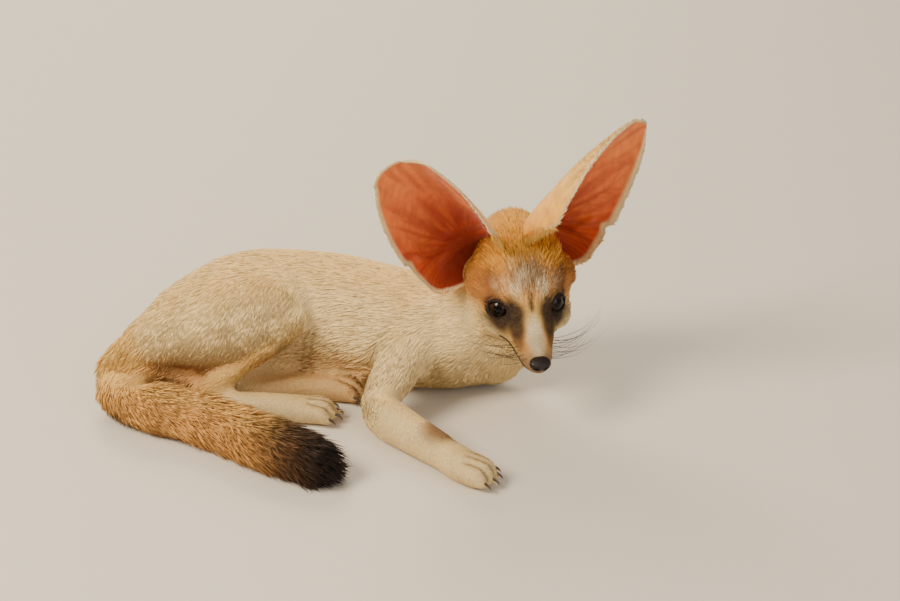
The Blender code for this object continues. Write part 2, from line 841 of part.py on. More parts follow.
def main():
    """Models the animal. Each part is cut back from the whole forms of the parts before it."""
    clear_scene()
    head, nose = make_head(), make_nose()
    eyes = [make_eye("eye_right", -1), make_eye("eye_left", 1)]
    inner, outer = inner_limbs(), outer_limbs()
    trunk = [tube(TORSO, sides=28, rings=26), tube(NECK, sides=20, rings=14, lift=(1, 0, 0.2))]
    trunk += [tube(THIGH_RIGHT, lift=(0, -0.55, 0.84)), tube(ARM_RIGHT, lift=(0.5, -0.6, 0.6))]
    torso = clay("torso", trunk, 2.6, 8, 900)
    ears = [trim(make_ear(name), head, torso) for name in EARS]
    inner_cut = cut_in_turn(inner, [])
    outer_cut = cut_in_turn(outer, [torso, *inner])
    trim(torso, head, *inner)
    neck = split(torso, "neck", *NECK_BORDER)
    thigh = let_out(torso, "thigh_right", *THIGH_PLUG)
    arm = let_out(torso, "upper_arm_right", *ARM_PLUG)
    take_names(inner_cut + outer_cut, inner + outer)
    tail = part_tail(outer_cut.pop())
    parts = [head, nose, *eyes, *ears, neck, torso, thigh, arm, *inner_cut, *outer_cut, *tail]
    rest_on_floor(parts)
    settle(parts)
    finish_parts(parts)


main()
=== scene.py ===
"""Looks of a fennec fox at rest: one skin under a coat of fine tufts, thin veined ears, dark wet
eyes between their lids, a pebbled nose, whiskers and claws, on a pale floor in soft light.

Shapes are worked out in millimetres in the layout of the body's own measures, where the floor is
at zero, and they become metres in the frame's place as each mesh is made. The head, its ears and
its eyes are worked out in the head's own axes: forward along the muzzle, to the fox's left, up.
"""

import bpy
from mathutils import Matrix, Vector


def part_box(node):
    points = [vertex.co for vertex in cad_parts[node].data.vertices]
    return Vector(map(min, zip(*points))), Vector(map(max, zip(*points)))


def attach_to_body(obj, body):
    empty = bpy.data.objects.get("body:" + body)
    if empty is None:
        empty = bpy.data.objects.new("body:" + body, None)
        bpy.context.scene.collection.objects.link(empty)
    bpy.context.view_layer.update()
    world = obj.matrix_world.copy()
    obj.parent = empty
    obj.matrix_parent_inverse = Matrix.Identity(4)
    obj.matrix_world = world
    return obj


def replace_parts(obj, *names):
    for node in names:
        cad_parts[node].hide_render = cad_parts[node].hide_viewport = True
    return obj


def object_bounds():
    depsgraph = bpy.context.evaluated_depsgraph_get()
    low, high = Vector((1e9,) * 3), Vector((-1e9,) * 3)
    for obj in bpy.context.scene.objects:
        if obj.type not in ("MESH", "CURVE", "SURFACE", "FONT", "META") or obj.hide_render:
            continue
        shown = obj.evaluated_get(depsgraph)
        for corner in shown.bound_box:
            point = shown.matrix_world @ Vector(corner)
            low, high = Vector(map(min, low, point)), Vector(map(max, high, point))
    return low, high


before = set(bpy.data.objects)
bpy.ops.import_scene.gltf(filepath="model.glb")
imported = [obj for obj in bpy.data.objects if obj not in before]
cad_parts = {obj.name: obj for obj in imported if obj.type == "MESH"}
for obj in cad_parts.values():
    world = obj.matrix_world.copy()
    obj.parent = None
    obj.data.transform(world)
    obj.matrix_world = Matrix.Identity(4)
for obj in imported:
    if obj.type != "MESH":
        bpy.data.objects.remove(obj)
cad_box = [list(corner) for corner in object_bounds()]

import itertools
import math

import bpy
import numpy as np

MM = 0.001

# Head carriage and the sizes of the face, as the solids have them
HEAD_CENTRE = np.array([96.6, -2.6, 70.5])
HEAD_YAW = math.radians(12)
HEAD_PITCH = math.radians(22)
EYE_RADIUS = 8.0
EYE_PLACE = (-2.6, 15.4, -1.8)
EYE_LOOK = (0.76, 0.49, 0.43)
EYE_OPENING = (7.2, 5.4)
EYE_SLANT = math.radians(12)
LID_THICKNESS = 1.3
# Lids: how far they reach round the eyeball, their gap off it, the width of their edge, and how
# deep the skin sinks behind the front of the eyeball
LID_REACH, LID_GAP, LID_EDGE, SOCKET_DEPTH = 5.0, 0.9, 3.5, 2.0
NOSE_CENTRE = (41.0, 0.0, -6.0)
NOSE_SIZE = (5.0, 6.6, 4.6)
# Corners of a box round the muzzle, whose skin carries the lips and the whiskers
MUZZLE_LOW, MUZZLE_HIGH = (4, -30, -30), (48, 30, 12)
# Lips: their span along the muzzle, their heights off the mouth's line and half widths, and how
# they close in on the middle at the front
MOUTH_SPAN = (10, 41)
LIPS = ((0.42, 0.5), (-0.42, 0.42))
LIP_END = (0.97, 0.9, 0.75, 0.5, 0.2)
WHISKER_HEIGHTS = (-6.5, -9.0, -11.5)

# Ears: length above the base, root below it, and the inner edge of the cup, which starts at a
# share of its angle and is whole from a share of its length up, with how much the shell eases both
EAR_LENGTH = 107.0
EAR_ROOT = 8.0
EAR_INNER = (0.42, 0.36)
EAR_INNER_EASE = (0.12, 0.05)
# Each ear: base, direction to the tip, direction out of the cup, bow away from the head
EARS = {
    "ear_right": ((-31, -26, 9), (-8, -55.5, 90.5), (0.94, -0.24, 0.06), 0.5),
    "ear_left": ((-38, 14, 9), (-14, 54, 91.5), (0.85, 0.5, 0.05), -3.5),
}
# Shares of the ear's length where the rounding of its tip starts and where the tip ends
EAR_ENDS = {"ear_right": (0.86, 0.965), "ear_left": (0.95, 1.0)}
# Tufts of each kind of hair on an ear, and the margin and half width of each side on its UV map
EAR_HAIR = {"back": 8000, "rim": 4500, "inner": 1400, "root": 1600}
MAP_MARGIN, MAP_HALF = 0.02, 0.23
# Ear, from the base to the tip: share of the length, half width, half angle of the cup, set back
EAR_SHAPE = (
    (0.00, 12.5, 132, 13),
    (0.12, 24, 116, 13),
    (0.26, 27, 101, 12),
    (0.42, 29.8, 86, 10),
    (0.60, 28.6, 73, 8),
    (0.76, 24.6, 58.5, 5),
    (0.89, 17.8, 45, 2),
    (0.97, 10.5, 34.5, 0),
    (1.00, 2.8, 29, 0),
)

# Ends of the legs: middle of the toes, heading and size
PAWS = {
    "hind_left": ((-10, 5, 7.5), (0.95, -0.3, 0), 13),
    "fore_left": ((72, 47, 8), (0.97, -0.22, 0), 13),
    "hind_right": ((-28, -21, 7.5), (1, -0.06, 0), 14),
    "fore_right": ((68, -95, 8), (0.96, -0.28, 0), 14),
}
# Claw, from its root: shares of the paw's size ahead and up, half width
CLAW = (
    (0.62, -0.02, 1.0),
    (0.82, -0.03, 0.95),
    (1.0, -0.09, 0.75),
    (1.12, -0.18, 0.48),
    (1.19, -0.29, 0.12),
)

FLESH = [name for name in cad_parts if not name.startswith(("ear_", "eye_", "nose"))]
SKIN_VOXEL = 1.4
# Rounds of smoothing, first all over and then mostly on the trunk
SMOOTHING = (5, 26)
# How far the skin lies inside the solids: a fixed depth and a share of the hair's length, how
# much deeper it is between the toes, and its least height
COAT_DEPTH = (0.5, 0.22)
CREASE_DEPTH = 1.6
FLOOR_GAP = 0.4
# How far every mesh stays inside the solids' box
BOX_MARGIN = 0.1
# Side of a tuft's patch on the unwrap, and random seed of the coat
PATCH = 0.003
SEED = 7

# The photograph's camera, as it was fitted: angle down, distance, the place on the floor that it is
# aimed at, and its focal length and the picture's width in pixels
CAMERA_TILT = math.radians(28)
CAMERA_DISTANCE = 1900.0
CAMERA_TARGET = (50.0, 136.0, 0.0)
FOCAL_PIXELS, PHOTO_WIDTH = 2880, 900
SENSOR_WIDTH = 36.0

# Soft square lights that face one place: place and size in metres, power and colour
LIGHTS = {
    "key": ((-1.1, -0.6, 1.25), 0.7, 40, (1.0, 0.86, 0.66)),
    "fill": ((1.2, -1.4, 1.0), 1.4, 13, (1.0, 0.94, 0.86)),
    "rim": ((-0.3, 1.3, 1.1), 0.8, 20, (1.0, 0.88, 0.70)),
}
LIGHT_TARGET = (0, 0, 0.05)
FLOOR_SIZE = 6.0


def unit(vector):
    """Vectors of length one."""
    vector = np.asarray(vector, float)
    return vector / np.maximum(np.linalg.norm(vector, axis=-1, keepdims=True), 1e-9)


def laid(ways, normals):
    """Directions laid in the plane across each normal."""
    return unit(ways - normals * (ways * normals).sum(1, keepdims=True))


def full_turn(count):
    """Angles once round, evenly spaced."""
    return np.linspace(0, 2 * math.pi, count, endpoint=False)


def ball_angles(rows, columns, edge=0.01):
    """Angles from the pole of a ball, as a column, and round it, as a row."""
    return np.linspace(edge, math.pi - edge, rows)[:, None], full_turn(columns)[None]


def head_matrix():
    """Columns are the head's forward, left and up directions."""
    heading = np.array([math.sin(HEAD_YAW), -math.cos(HEAD_YAW), 0])
    forward = heading * math.cos(HEAD_PITCH) - np.array([0, 0, math.sin(HEAD_PITCH)])
    left = np.array([math.cos(HEAD_YAW), math.sin(HEAD_YAW), 0])
    return np.stack([forward, left, np.cross(forward, left)], axis=1)


HEAD = head_matrix()


def head_point(*point):
    """A place on the head, from the head's axes to the layout."""
    return HEAD_CENTRE + HEAD @ np.array(point, float)


def on_head(points):
    """Places in the head's axes, taken to the layout."""
    return HEAD_CENTRE + np.asarray(points, float) @ HEAD.T


def to_head(points):
    """Places in the layout, taken to the head's axes."""
    return (points - HEAD_CENTRE) @ HEAD


eye_low, eye_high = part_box("eye_left")
SHIFT = np.array((eye_low + eye_high) / 2) / MM - head_point(*EYE_PLACE)
SHIFT[2] = 0


def linear(red, green, blue):
    """A colour given in screen values, as the light values that shaders use."""
    value = np.array([red, green, blue]) / 255
    return np.where(value <= 0.04045, value / 12.92, ((value + 0.055) / 1.055) ** 2.4)


CREAM = linear(248, 220, 160)
PALE = linear(250, 232, 190)
SAND = linear(240, 196, 112)
# Shaded buff: painted shade on the belly and under the rear of the thigh, over a paler real coat
SHADED_BUFF = linear(214, 158, 92)
GOLD = linear(214, 150, 74)
BRIGHT_GOLD = linear(244, 178, 62)
TAIL_GOLD = linear(226, 172, 98)
TAWNY = linear(186, 118, 56)
UMBER = linear(112, 72, 42)
DARK = linear(48, 31, 22)
NEAR_BLACK = linear(26, 18, 14)
MASK = linear(25, 16, 12)
GREY_BROWN = linear(158, 126, 92)
EAR_RED = linear(214, 80, 36)
EAR_DEEP = linear(158, 36, 18)
EAR_ORANGE = linear(244, 132, 60)
IRIS_BRIGHT, IRIS_DEEP = linear(58, 34, 18), linear(24, 14, 9)
IRIS_EDGE, PUPIL = linear(14, 9, 7), linear(5, 4, 4)
LID_TINT, LIP_TINT = linear(22, 15, 12), linear(30, 21, 18)
# Nostril tint: painted shade in the nostrils and the groove of the nose
NOSE_TINT, NOSTRIL_SHADOW_TINT = linear(24, 17, 15), linear(5, 3, 3)
FLOOR_TINT = linear(222, 214, 200)

# Each stretch of the body: the line along its middle, its half girth, the way that its hair lies
# where that isn't along the line, hair length, lift of the hair, colour and coat group
STRETCHES = (
    (head_point(44, 0, -11), head_point(16, 0, -9), 9, "nose", 1.8, 0.10, GREY_BROWN, "head"),
    (head_point(14, 0, -6), head_point(-10, 0, -2), 18, "nose", 3.2, 0.16, SAND, "head"),
    (head_point(-12, 0, 1), head_point(-46, 0, 5), 25, "nose", 7.0, 0.30, GOLD, "head"),
    (head_point(-8, 14, -13), head_point(-30, 16, -12), 13, "nose", 7.0, 0.24, SAND, "head"),
    (head_point(-8, -14, -13), head_point(-30, -16, -12), 13, "nose", 7.0, 0.24, SAND, "head"),
    ((86, 41, 90), (60, 33, 54), 24, (-0.5, 0.1, -0.6), 10, 0.24, SAND, "front"),
    ((84, 18, 44), (72, 16, 14), 22, (-0.25, 0.0, -1.0), 9, 0.20, CREAM, "front"),
    ((66, 26, 36), (34, 30, 37), 35, (-1, 0.1, -0.1), 10, 0.20, CREAM, "front"),
    ((34, 30, 37), (-20, 46, 39), 40, (-1, 0.25, -0.1), 11, 0.20, CREAM, "middle"),
    ((-20, 46, 39), (-70, 46, 40), 41, (-1, 0.0, -0.1), 11, 0.20, CREAM, "middle"),
    ((-70, 46, 40), (-106, 26, 38), 39, (-1, -0.4, -0.1), 11, 0.22, CREAM, "rear"),
    ((-106, 26, 38), (-142, 2, 31), 26, (-0.8, -0.7, -0.4), 12, 0.24, SAND, "rear"),
    ((-122, 2, 42), (-55, 22, 57), 23, (-0.45, -0.4, -0.8), 10, 0.18, CREAM, "thigh"),
    ((-46, 12, 54), (-100, -15, 18), 9, None, 6, 0.14, SAND, "legs"),
    ((-104, -16, 10), (-32, -20, 8), 9.5, None, 3.6, 0.12, CREAM, "feet"),
    ((41, 32, 58), (12, -22, 24), 18, None, 9, 0.16, CREAM, "legs"),
    ((7, -24, 15), (45, -75, 11), 13, None, 4.5, 0.12, CREAM, "legs"),
    ((46, -76, 10), (74, -98, 7), 11, None, 3.0, 0.12, CREAM, "feet"),
    ((42, 52, 34), (16, 62, 14), 14, None, 7, 0.16, CREAM, "legs"),
    ((14, 62, 11), (60, 50, 9), 11, None, 4.5, 0.12, CREAM, "legs"),
    ((60, 50, 8), (82, 45, 7), 10, None, 3.0, 0.12, CREAM, "feet"),
    ((-128, 8, 21), (-60, 24, 13), 17, None, 8, 0.16, CREAM, "legs"),
    ((-50, 20, 10), (-80, 2, 9), 10, None, 5, 0.14, CREAM, "legs"),
    ((-78, -1, 8), (-4, 5, 8), 9.5, None, 3.4, 0.12, CREAM, "feet"),
)
# Soft spots of colour, each laid over the last: colour, strength, centre and radii. Those on the
# temples, the brow and the muzzle are in the head's axes and alike on both sides.
# On the body: painted shade under the thigh, on the belly and along the crease of the hind leg, and
# a dark spot low on the chest
BODY_SHADE_AND_SPOTS = (
    # Buff under the rear of the thigh and on the belly: painted shade over a paler real coat
    (SHADED_BUFF, 0.8, (-116, -4, 24), (28, 20, 16)),
    (SHADED_BUFF, 0.6, (-20, 4, 10), (60, 16, 24)),
    # Tawny along the crease from the knee to the hock and umber by the knee: painted shade in the
    # crease
    (TAWNY, 0.75, (-84, -2, 36), (36, 10, 8)),
    (UMBER, 0.7, (-54, 4, 42), (16, 7, 6)),
    (UMBER, 0.6, (40, -22, 12), (10, 8, 8)),
)
# Temples: tawny and umber as painted shade
TEMPLE_SHADE = (
    (TAWNY, 0.8, (-9, 25, 7), (12, 10, 12)),
    (UMBER, 0.4, (-5, 21, 12), (9, 7, 7)),
)
BROW_SPOTS = ((GREY_BROWN, 0.9, (-1, 1, 19), (9, 10, 7)),)
MUZZLE_SPOTS = (
    (GOLD, 0.7, (27, 8, 0), (12, 4, 6)),
    (PALE, 0.9, (27, 0, 2), (14, 5.4, 7)),
    (GREY_BROWN, 0.4, (31, 2, 1), (7, 3, 4)),
    (UMBER, 0.85, (25, 11, -3), (8, 4, 4.5)),
    (MASK, 0.9, (18, 10.5, 1), (8, 5.4, 6)),
    (MASK, 0.97, (11, 10.6, 6), (8, 6.4, 6.5)),
    (MASK, 1.0, (5, 19, -1.5), (13, 11.5, 10)),
    (DARK, 0.9, (9.5, 0, 11), (4.5, 1.7, 4.5)),
    (PALE, 0.9, (18, 5, -21), (22, 12, 5)),
)
# Middle line of the tail's core: x, y, z, half width, half height, hair length
TAIL = (
    (-138, 8, 44, 10.5, 11.5, 9),
    (-154, 3, 28, 11, 11.5, 11),
    (-151, -11, 17, 12.5, 12.5, 13),
    (-131, -27, 15, 12.5, 12.5, 15),
    (-109, -37, 14, 12, 12, 17),
    (-87, -50, 13.5, 11.5, 11.5, 18),
    (-68, -64, 14, 11.5, 11.5, 20),
    (-48, -77, 14, 11, 11, 21),
    (-35, -85, 13, 9, 9.5, 21),
    (-28, -89, 12, 5, 6, 19),
)


def smooth_rows(rows, count):
    """Catmull-Rom curve through rows of numbers, read at an even count of places."""
    knots = np.array(rows, float)
    padded = np.vstack([2 * knots[0] - knots[1], knots, 2 * knots[-1] - knots[-2]])
    place = np.linspace(0, len(knots) - 1, count)
    index = np.minimum(place.astype(int), len(knots) - 2)
    t = (place - index)[:, None]
    p0, p1, p2, p3 = (padded[index + step] for step in range(4))
    return 0.5 * (
        2 * p1
        + (p2 - p0) * t
        + (2 * p0 - 5 * p1 + 4 * p2 - p3) * t**2
        + (3 * p1 - p0 - 3 * p2 + p3) * t**3
    )


def noise(points, size, seed):
    """Smooth noise from 0 to 1: random numbers on a lattice of a given size, blended between the
    eight corners of each cell with an eased weight along each axis."""
    table = np.random.default_rng(seed).random((32, 32, 32))
    place = np.asarray(points, float) / size + 1000
    cell = np.floor(place).astype(int)
    part = place - cell
    part = part * part * (3 - 2 * part)
    total = np.zeros(len(place))
    for corner in itertools.product((0, 1), repeat=3):
        weight = np.prod(np.where(corner, part, 1 - part), axis=1)
        index = (cell + corner) % 32
        total += weight * table[index[:, 0], index[:, 1], index[:, 2]]
    return total


def step(low, high, value):
    """Eased step from 0 at low to 1 at high."""
    t = np.clip((value - low) / (high - low), 0, 1)
    return t * t * (3 - 2 * t)


def bell(value, width):
    """Bell curve: 1 at zero, fading over the width on both sides."""
    return np.exp(-((value / width) ** 2))


def spot(points, centre, radii):
    """Soft ellipsoidal spot: 1 in its middle, 0.5 at its radii, fading outside."""
    away = np.linalg.norm((points - np.array(centre, float)) / np.array(radii, float), axis=-1)
    return 1 - step(0.55, 1.45, away)


def mix(colour, other, share):
    """Blend of two colours or two rows of colours."""
    share = np.asarray(share, float)[..., None]
    return colour * (1 - share) + other * share


def layered(colour, *layers):
    """Colours with others laid over them in turn, each by its share."""
    for other, share in layers:
        colour = mix(colour, other, share)
    return colour


def spotted(colour, points, spots, share=1.0):
    """Colours with a table's spots laid over them."""
    for tint, strength, centre, radii in spots:
        colour = mix(colour, tint, share * strength * spot(points, centre, radii))
    return colour


def mirrored(face):
    """Places in the head's axes, all taken to its left side."""
    return np.abs(face * (0, 1, 0)) + face * (1, 0, 1)


def grid_triangles(rows, columns, ends_meet=False):
    """Triangles of a grid whose columns close round, and whose last row may meet its first."""
    last = rows if ends_meet else rows - 1
    i, j = np.meshgrid(np.arange(last), np.arange(columns), indexing="ij")
    above, beside = (i + 1) % rows, (j + 1) % columns
    here, right = i * columns + j, i * columns + beside
    up, across = above * columns + j, above * columns + beside
    first = np.stack([here, right, across], axis=-1).reshape(-1, 3)
    second = np.stack([here, across, up], axis=-1).reshape(-1, 3)
    return np.concatenate([first, second])


def capped(points, rows, columns):
    """Closed surface from a grid whose columns close round, with a fan at each end."""
    points = np.asarray(points, float).reshape(-1, 3)
    ends = np.stack([points[:columns].mean(0), points[-columns:].mean(0)])
    ring = np.arange(columns)
    start, last = len(points), (rows - 1) * columns
    low = np.stack([np.roll(ring, -1), ring, np.full(columns, start)], axis=1)
    high = np.stack([last + ring, last + np.roll(ring, -1), np.full(columns, start + 1)], axis=1)
    triangles = np.concatenate([grid_triangles(rows, columns), low, high])
    return np.concatenate([points, ends]), triangles


def with_ends(rows):
    """Rows of numbers for a capped grid, where the middles of its fans take the first and last."""
    return np.concatenate([rows, rows[:1], rows[-1:]])


def add_object(name, data):
    """A new object in the scene."""
    item = bpy.data.objects.new(name, data)
    bpy.context.scene.collection.objects.link(item)
    return item


def make_mesh(name, points, triangles, tint=None, uv=None):
    """A mesh object from points in the layout's millimetres, kept inside the solids' box, with a
    colour and a UV place for each point."""
    low, high = (np.array(corner) / MM for corner in cad_box)
    points = np.clip(np.asarray(points, float) + SHIFT, low + BOX_MARGIN, high - BOX_MARGIN) * MM
    triangles = np.asarray(triangles, np.int32)
    mesh = bpy.data.meshes.new(name)
    mesh.vertices.add(len(points))
    mesh.vertices.foreach_set("co", points.astype(np.float32).ravel())
    mesh.loops.add(triangles.size)
    mesh.loops.foreach_set("vertex_index", triangles.ravel())
    mesh.polygons.add(len(triangles))
    mesh.polygons.foreach_set("loop_start", np.arange(0, triangles.size, 3, dtype=np.int32))
    if uv is not None:
        layer = mesh.uv_layers.new(name="OFBake")
        layer.data.foreach_set("uv", np.asarray(uv, np.float32)[triangles.ravel()].ravel())
    if tint is not None:
        colours = np.concatenate([tint, np.ones((len(tint), 1))], axis=1).astype(np.float32)
        layer = mesh.color_attributes.new("tint", "FLOAT_COLOR", "POINT")
        layer.data.foreach_set("color", colours.ravel())
    mesh.update(calc_edges=True)
    mesh.validate()
    mesh.shade_smooth()
    return add_object(name, mesh)


def joined(*pieces):
    """One surface of points and triangles from several."""
    points, triangles, count = [], [], 0
    for some_points, some_triangles in pieces:
        points.append(some_points)
        triangles.append(np.asarray(some_triangles) + count)
        count += len(some_points)
    return np.concatenate(points), np.concatenate(triangles)


def tube(rows, columns=16, count=24, lift=(0, 0, 1)):
    """Rings of half width and half height carried along a smooth line through the rows, with
    their upward side towards the lift. The last rings close to a round end."""
    read = smooth_rows(rows, count)
    centres, wide, high = read[:, :3], read[:, 3], read[:, 4]
    along = unit(np.gradient(centres, axis=0))
    across = unit(np.cross(np.array(lift, float), along))
    upward = np.cross(along, across)
    turn = full_turn(columns)
    circle = (wide[:, None, None] * across[:, None] * np.cos(turn)[None, :, None]
              + high[:, None, None] * upward[:, None] * np.sin(turn)[None, :, None])
    return capped(centres[:, None] + circle, count, columns)


def round_form(centre, radii, rows=20, columns=28):
    """Ellipsoid as rings of latitude."""
    tilt, turn = ball_angles(rows, columns, 0.05)
    shape = np.stack([np.sin(tilt) * np.cos(turn), np.sin(tilt) * np.sin(turn),
                      np.cos(tilt) + 0 * turn], axis=-1)
    return capped(shape * np.array(radii, float) + np.array(centre, float), rows, columns)


def mesh_arrays(mesh):
    """Points and triangles of a Blender mesh."""
    points = np.empty(len(mesh.vertices) * 3, np.float32)
    mesh.vertices.foreach_get("co", points)
    mesh.calc_loop_triangles()
    triangles = np.empty(len(mesh.loop_triangles) * 3, np.int32)
    mesh.loop_triangles.foreach_get("vertices", triangles)
    return points.reshape(-1, 3).astype(float), triangles.reshape(-1, 3)


def merged(points, triangles):
    """Loose triangles, with their doubled points merged and empty triangles dropped."""
    _, first, index = np.unique(np.round(points, 3), axis=0, return_index=True, return_inverse=True)
    triangles = index.reshape(-1)[triangles]
    good = (triangles != np.roll(triangles, 1, axis=1)).all(axis=1)
    return points[first], triangles[good]


def cad_surface(name):
    """A CAD node's surface in the layout's millimetres, with its doubled points merged."""
    points, triangles = mesh_arrays(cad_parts[name].data)
    return merged(points / MM - SHIFT, triangles)


def triangle_normals(points, triangles):
    """Normal of each triangle, as long as twice its area."""
    a, b, c = (points[triangles[:, k]] for k in range(3))
    return np.cross(b - a, c - a)


def point_normals(points, triangles):
    """Normal of each point, from the triangles round it."""
    flat = triangle_normals(points, triangles)
    total = np.zeros_like(points)
    for axis in range(3):
        for corner in range(3):
            total[:, axis] += np.bincount(triangles[:, corner], flat[:, axis], len(points))
    return unit(total)


def relaxed(points, triangles, rounds, weight):
    """Surface smoothed by moving each point part of the way to the middle of its neighbours."""
    pairs = np.concatenate([triangles[:, [0, 1]], triangles[:, [1, 2]], triangles[:, [2, 0]]])
    start, end = pairs.T
    degree = np.bincount(start, minlength=len(points))[:, None]
    for _ in range(rounds):
        total = [np.bincount(start, points[end, k], len(points)) for k in range(3)]
        total = np.stack(total, axis=1)
        points = points + weight[:, None] * (total / np.maximum(degree, 1) - points)
    return points


def eye_frame(side):
    """Centre of an eye and its outward, corner and upward directions in the head's axes; side is
    1 on the left."""
    look = unit((EYE_LOOK[0], side * EYE_LOOK[1], EYE_LOOK[2]))
    across = unit(np.cross((0, 0, 1), look))
    upward = np.cross(look, across)
    slant = EYE_SLANT * side
    corner = across * math.cos(slant) + upward * math.sin(slant)
    centre = np.array([EYE_PLACE[0], side * EYE_PLACE[1], EYE_PLACE[2]])
    return centre, look, corner, np.cross(look, corner)


def opening_height(share, upper):
    """Half height of the opening between the lids at a share from -1 to 1 of its half width."""
    arch = np.maximum(0, 1 - share**2) ** 0.65
    return EYE_OPENING[1] * arch * np.where(upper, 1.0, 0.85)


def in_opening(points, side):
    """How far inside the lids' opening each place on the eye is, in millimetres; it is less than
    zero outside."""
    centre, look, corner, upward = eye_frame(side)
    away = points - centre
    ahead = away @ look
    across, rise = away @ corner, away @ upward
    share = np.clip(across / EYE_OPENING[0], -1, 1)
    inside = opening_height(share, rise > 0) - np.abs(rise)
    inside = inside - np.maximum(0, np.abs(across) - EYE_OPENING[0])
    return np.where(ahead > 0, inside, -9.0)


EAR_TABLE = smooth_rows(EAR_SHAPE, 400)


def ear_width(name, t):
    """Half width of an ear at a share of its length, where its end is rounded to an ellipse."""
    start, end = EAR_ENDS[name]
    wide = np.interp(np.minimum(t, start), EAR_TABLE[:, 0], EAR_TABLE[:, 1])
    share = np.clip((t - start) / (end - start), 0, 0.995)
    return wide * np.sqrt(1 - share**2)


def ear_surface(name, t, around):
    """Places on the middle surface of an ear's cup, in the head's axes, and the direction into the
    cup there. t is the share of the ear's length and around the share of its half angle, where 1
    is the rim that lies away from the middle of the head."""
    base, lean, facing, bow = EARS[name]
    base, axis, facing = np.array(base, float), unit(lean), np.array(facing, float)
    facing = unit(facing - axis * (facing @ axis))
    across = np.cross(axis, facing)
    away = across if across[1] * base[1] > 0 else -across
    half_width = ear_width(name, t)
    half_angle, back = (np.interp(t, EAR_TABLE[:, 0], EAR_TABLE[:, k]) for k in (2, 3))
    reach = np.radians(half_angle)
    radius = half_width / np.sin(np.minimum(reach, math.pi / 2))
    notch = 1 - 0.07 * bell(t - 0.335, 0.032) * step(0.5, 1.0, around)
    start, height = EAR_INNER[0] - EAR_INNER_EASE[0], EAR_INNER[1] + EAR_INNER_EASE[1]
    inner = np.minimum(start + (1 - start) * t / height, 1)
    turn = (around * reach * notch * np.where(around < 0, inner, 1))[..., None]
    t, radius, back = t[..., None], radius[..., None], back[..., None]
    middle = base + axis * (EAR_LENGTH * t - EAR_ROOT * (1 - t)) + facing * (radius - back)
    middle = middle + away * bow * np.sin(math.pi * t)
    spoke = away * np.sin(turn) - facing * np.cos(turn)
    return middle + spoke * radius, -spoke


def paw_frame(tip, heading, size):
    """Middle of the toes, heading, sideways direction and size of a paw."""
    heading = unit(heading)
    return np.array(tip, float), heading, unit(np.cross((0, 0, 1), heading)), size


def toe_creases(points):
    """How deep each place is in one of the creases between the toes, from 0 to 1."""
    depth = np.zeros(len(points))
    for tip, heading, across, size in (paw_frame(*paw) for paw in PAWS.values()):
        away = points - tip
        ahead, aside = away @ heading, away @ across
        rise = away[:, 2]
        near = step(-0.85 * size, -0.35 * size, ahead) * step(1.4 * size, 1.1 * size, np.abs(aside))
        near = near * step(-0.6 * size, -0.2 * size, rise) * step(1.1 * size, 0.8 * size, rise)
        near = near * step(1.7 * size, 1.4 * size, ahead)
        for share in (-2 / 3, 0, 2 / 3):
            middle = share * (size * 0.56 + (ahead + size * 0.3) * 0.18)
            depth = np.maximum(depth, near * bell(aside - middle, 1.0))
    return depth


def stretch_table():
    """The stretches of the body and those of the tail, as whole arrays."""
    rows = list(STRETCHES)
    for here, there in zip(TAIL, TAIL[1:]):
        share = len(rows) - len(STRETCHES)
        tint = mix(TAIL_GOLD, TAWNY, 0.7 * share / len(TAIL))
        group = "tail_root" if share < 4 else "tail_brush"
        rows.append((here[:3], there[:3], here[4], None, here[5], 0.4, tint, group))
    return rows


TABLE = stretch_table()
HAIR_LENGTHS, HAIR_LIFTS, HAIR_TINTS, HAIR_GROUPS = (
    np.array([row[k] for row in TABLE]) for k in (4, 5, 6, 7))


def stretch_weights(points, softness=2.5):
    """How much each place belongs to each stretch: nearness to the stretch's line less its half
    girth, turned into shares that add up to one."""
    gaps = []
    for start, end, girth, *_ in TABLE:
        start, line = np.array(start, float), np.array(end, float) - np.array(start, float)
        along = np.clip((points - start) @ line / (line @ line), 0, 1)
        gaps.append(np.linalg.norm(points - start - along[:, None] * line, axis=1) - girth)
    gaps = np.stack(gaps, axis=1)
    weight = np.exp(-(gaps - gaps.min(1, keepdims=True)) / softness)
    return weight / weight.sum(1, keepdims=True)


def group_weight(weights, *groups):
    """How much each place belongs to the stretches of the named coat groups together."""
    return weights[:, np.isin(HAIR_GROUPS, groups)].sum(1)


def lie_of_hair(points, normals, weights):
    """Direction of the hair: along the stretch, or away from the nose on the head, a little
    downwards on the flanks, and laid in the skin's plane."""
    nose = head_point(56, 0, -8)
    way = np.zeros_like(points)
    for k, (start, end, _, lie, *_) in enumerate(TABLE):
        if lie is None:
            direction = unit(np.array(end, float) - np.array(start, float))
        elif isinstance(lie, str):
            direction = unit(points - nose)
        else:
            direction = unit(lie)
        way += weights[:, k : k + 1] * direction
    way[:, 2] -= 0.22
    return laid(way, normals)


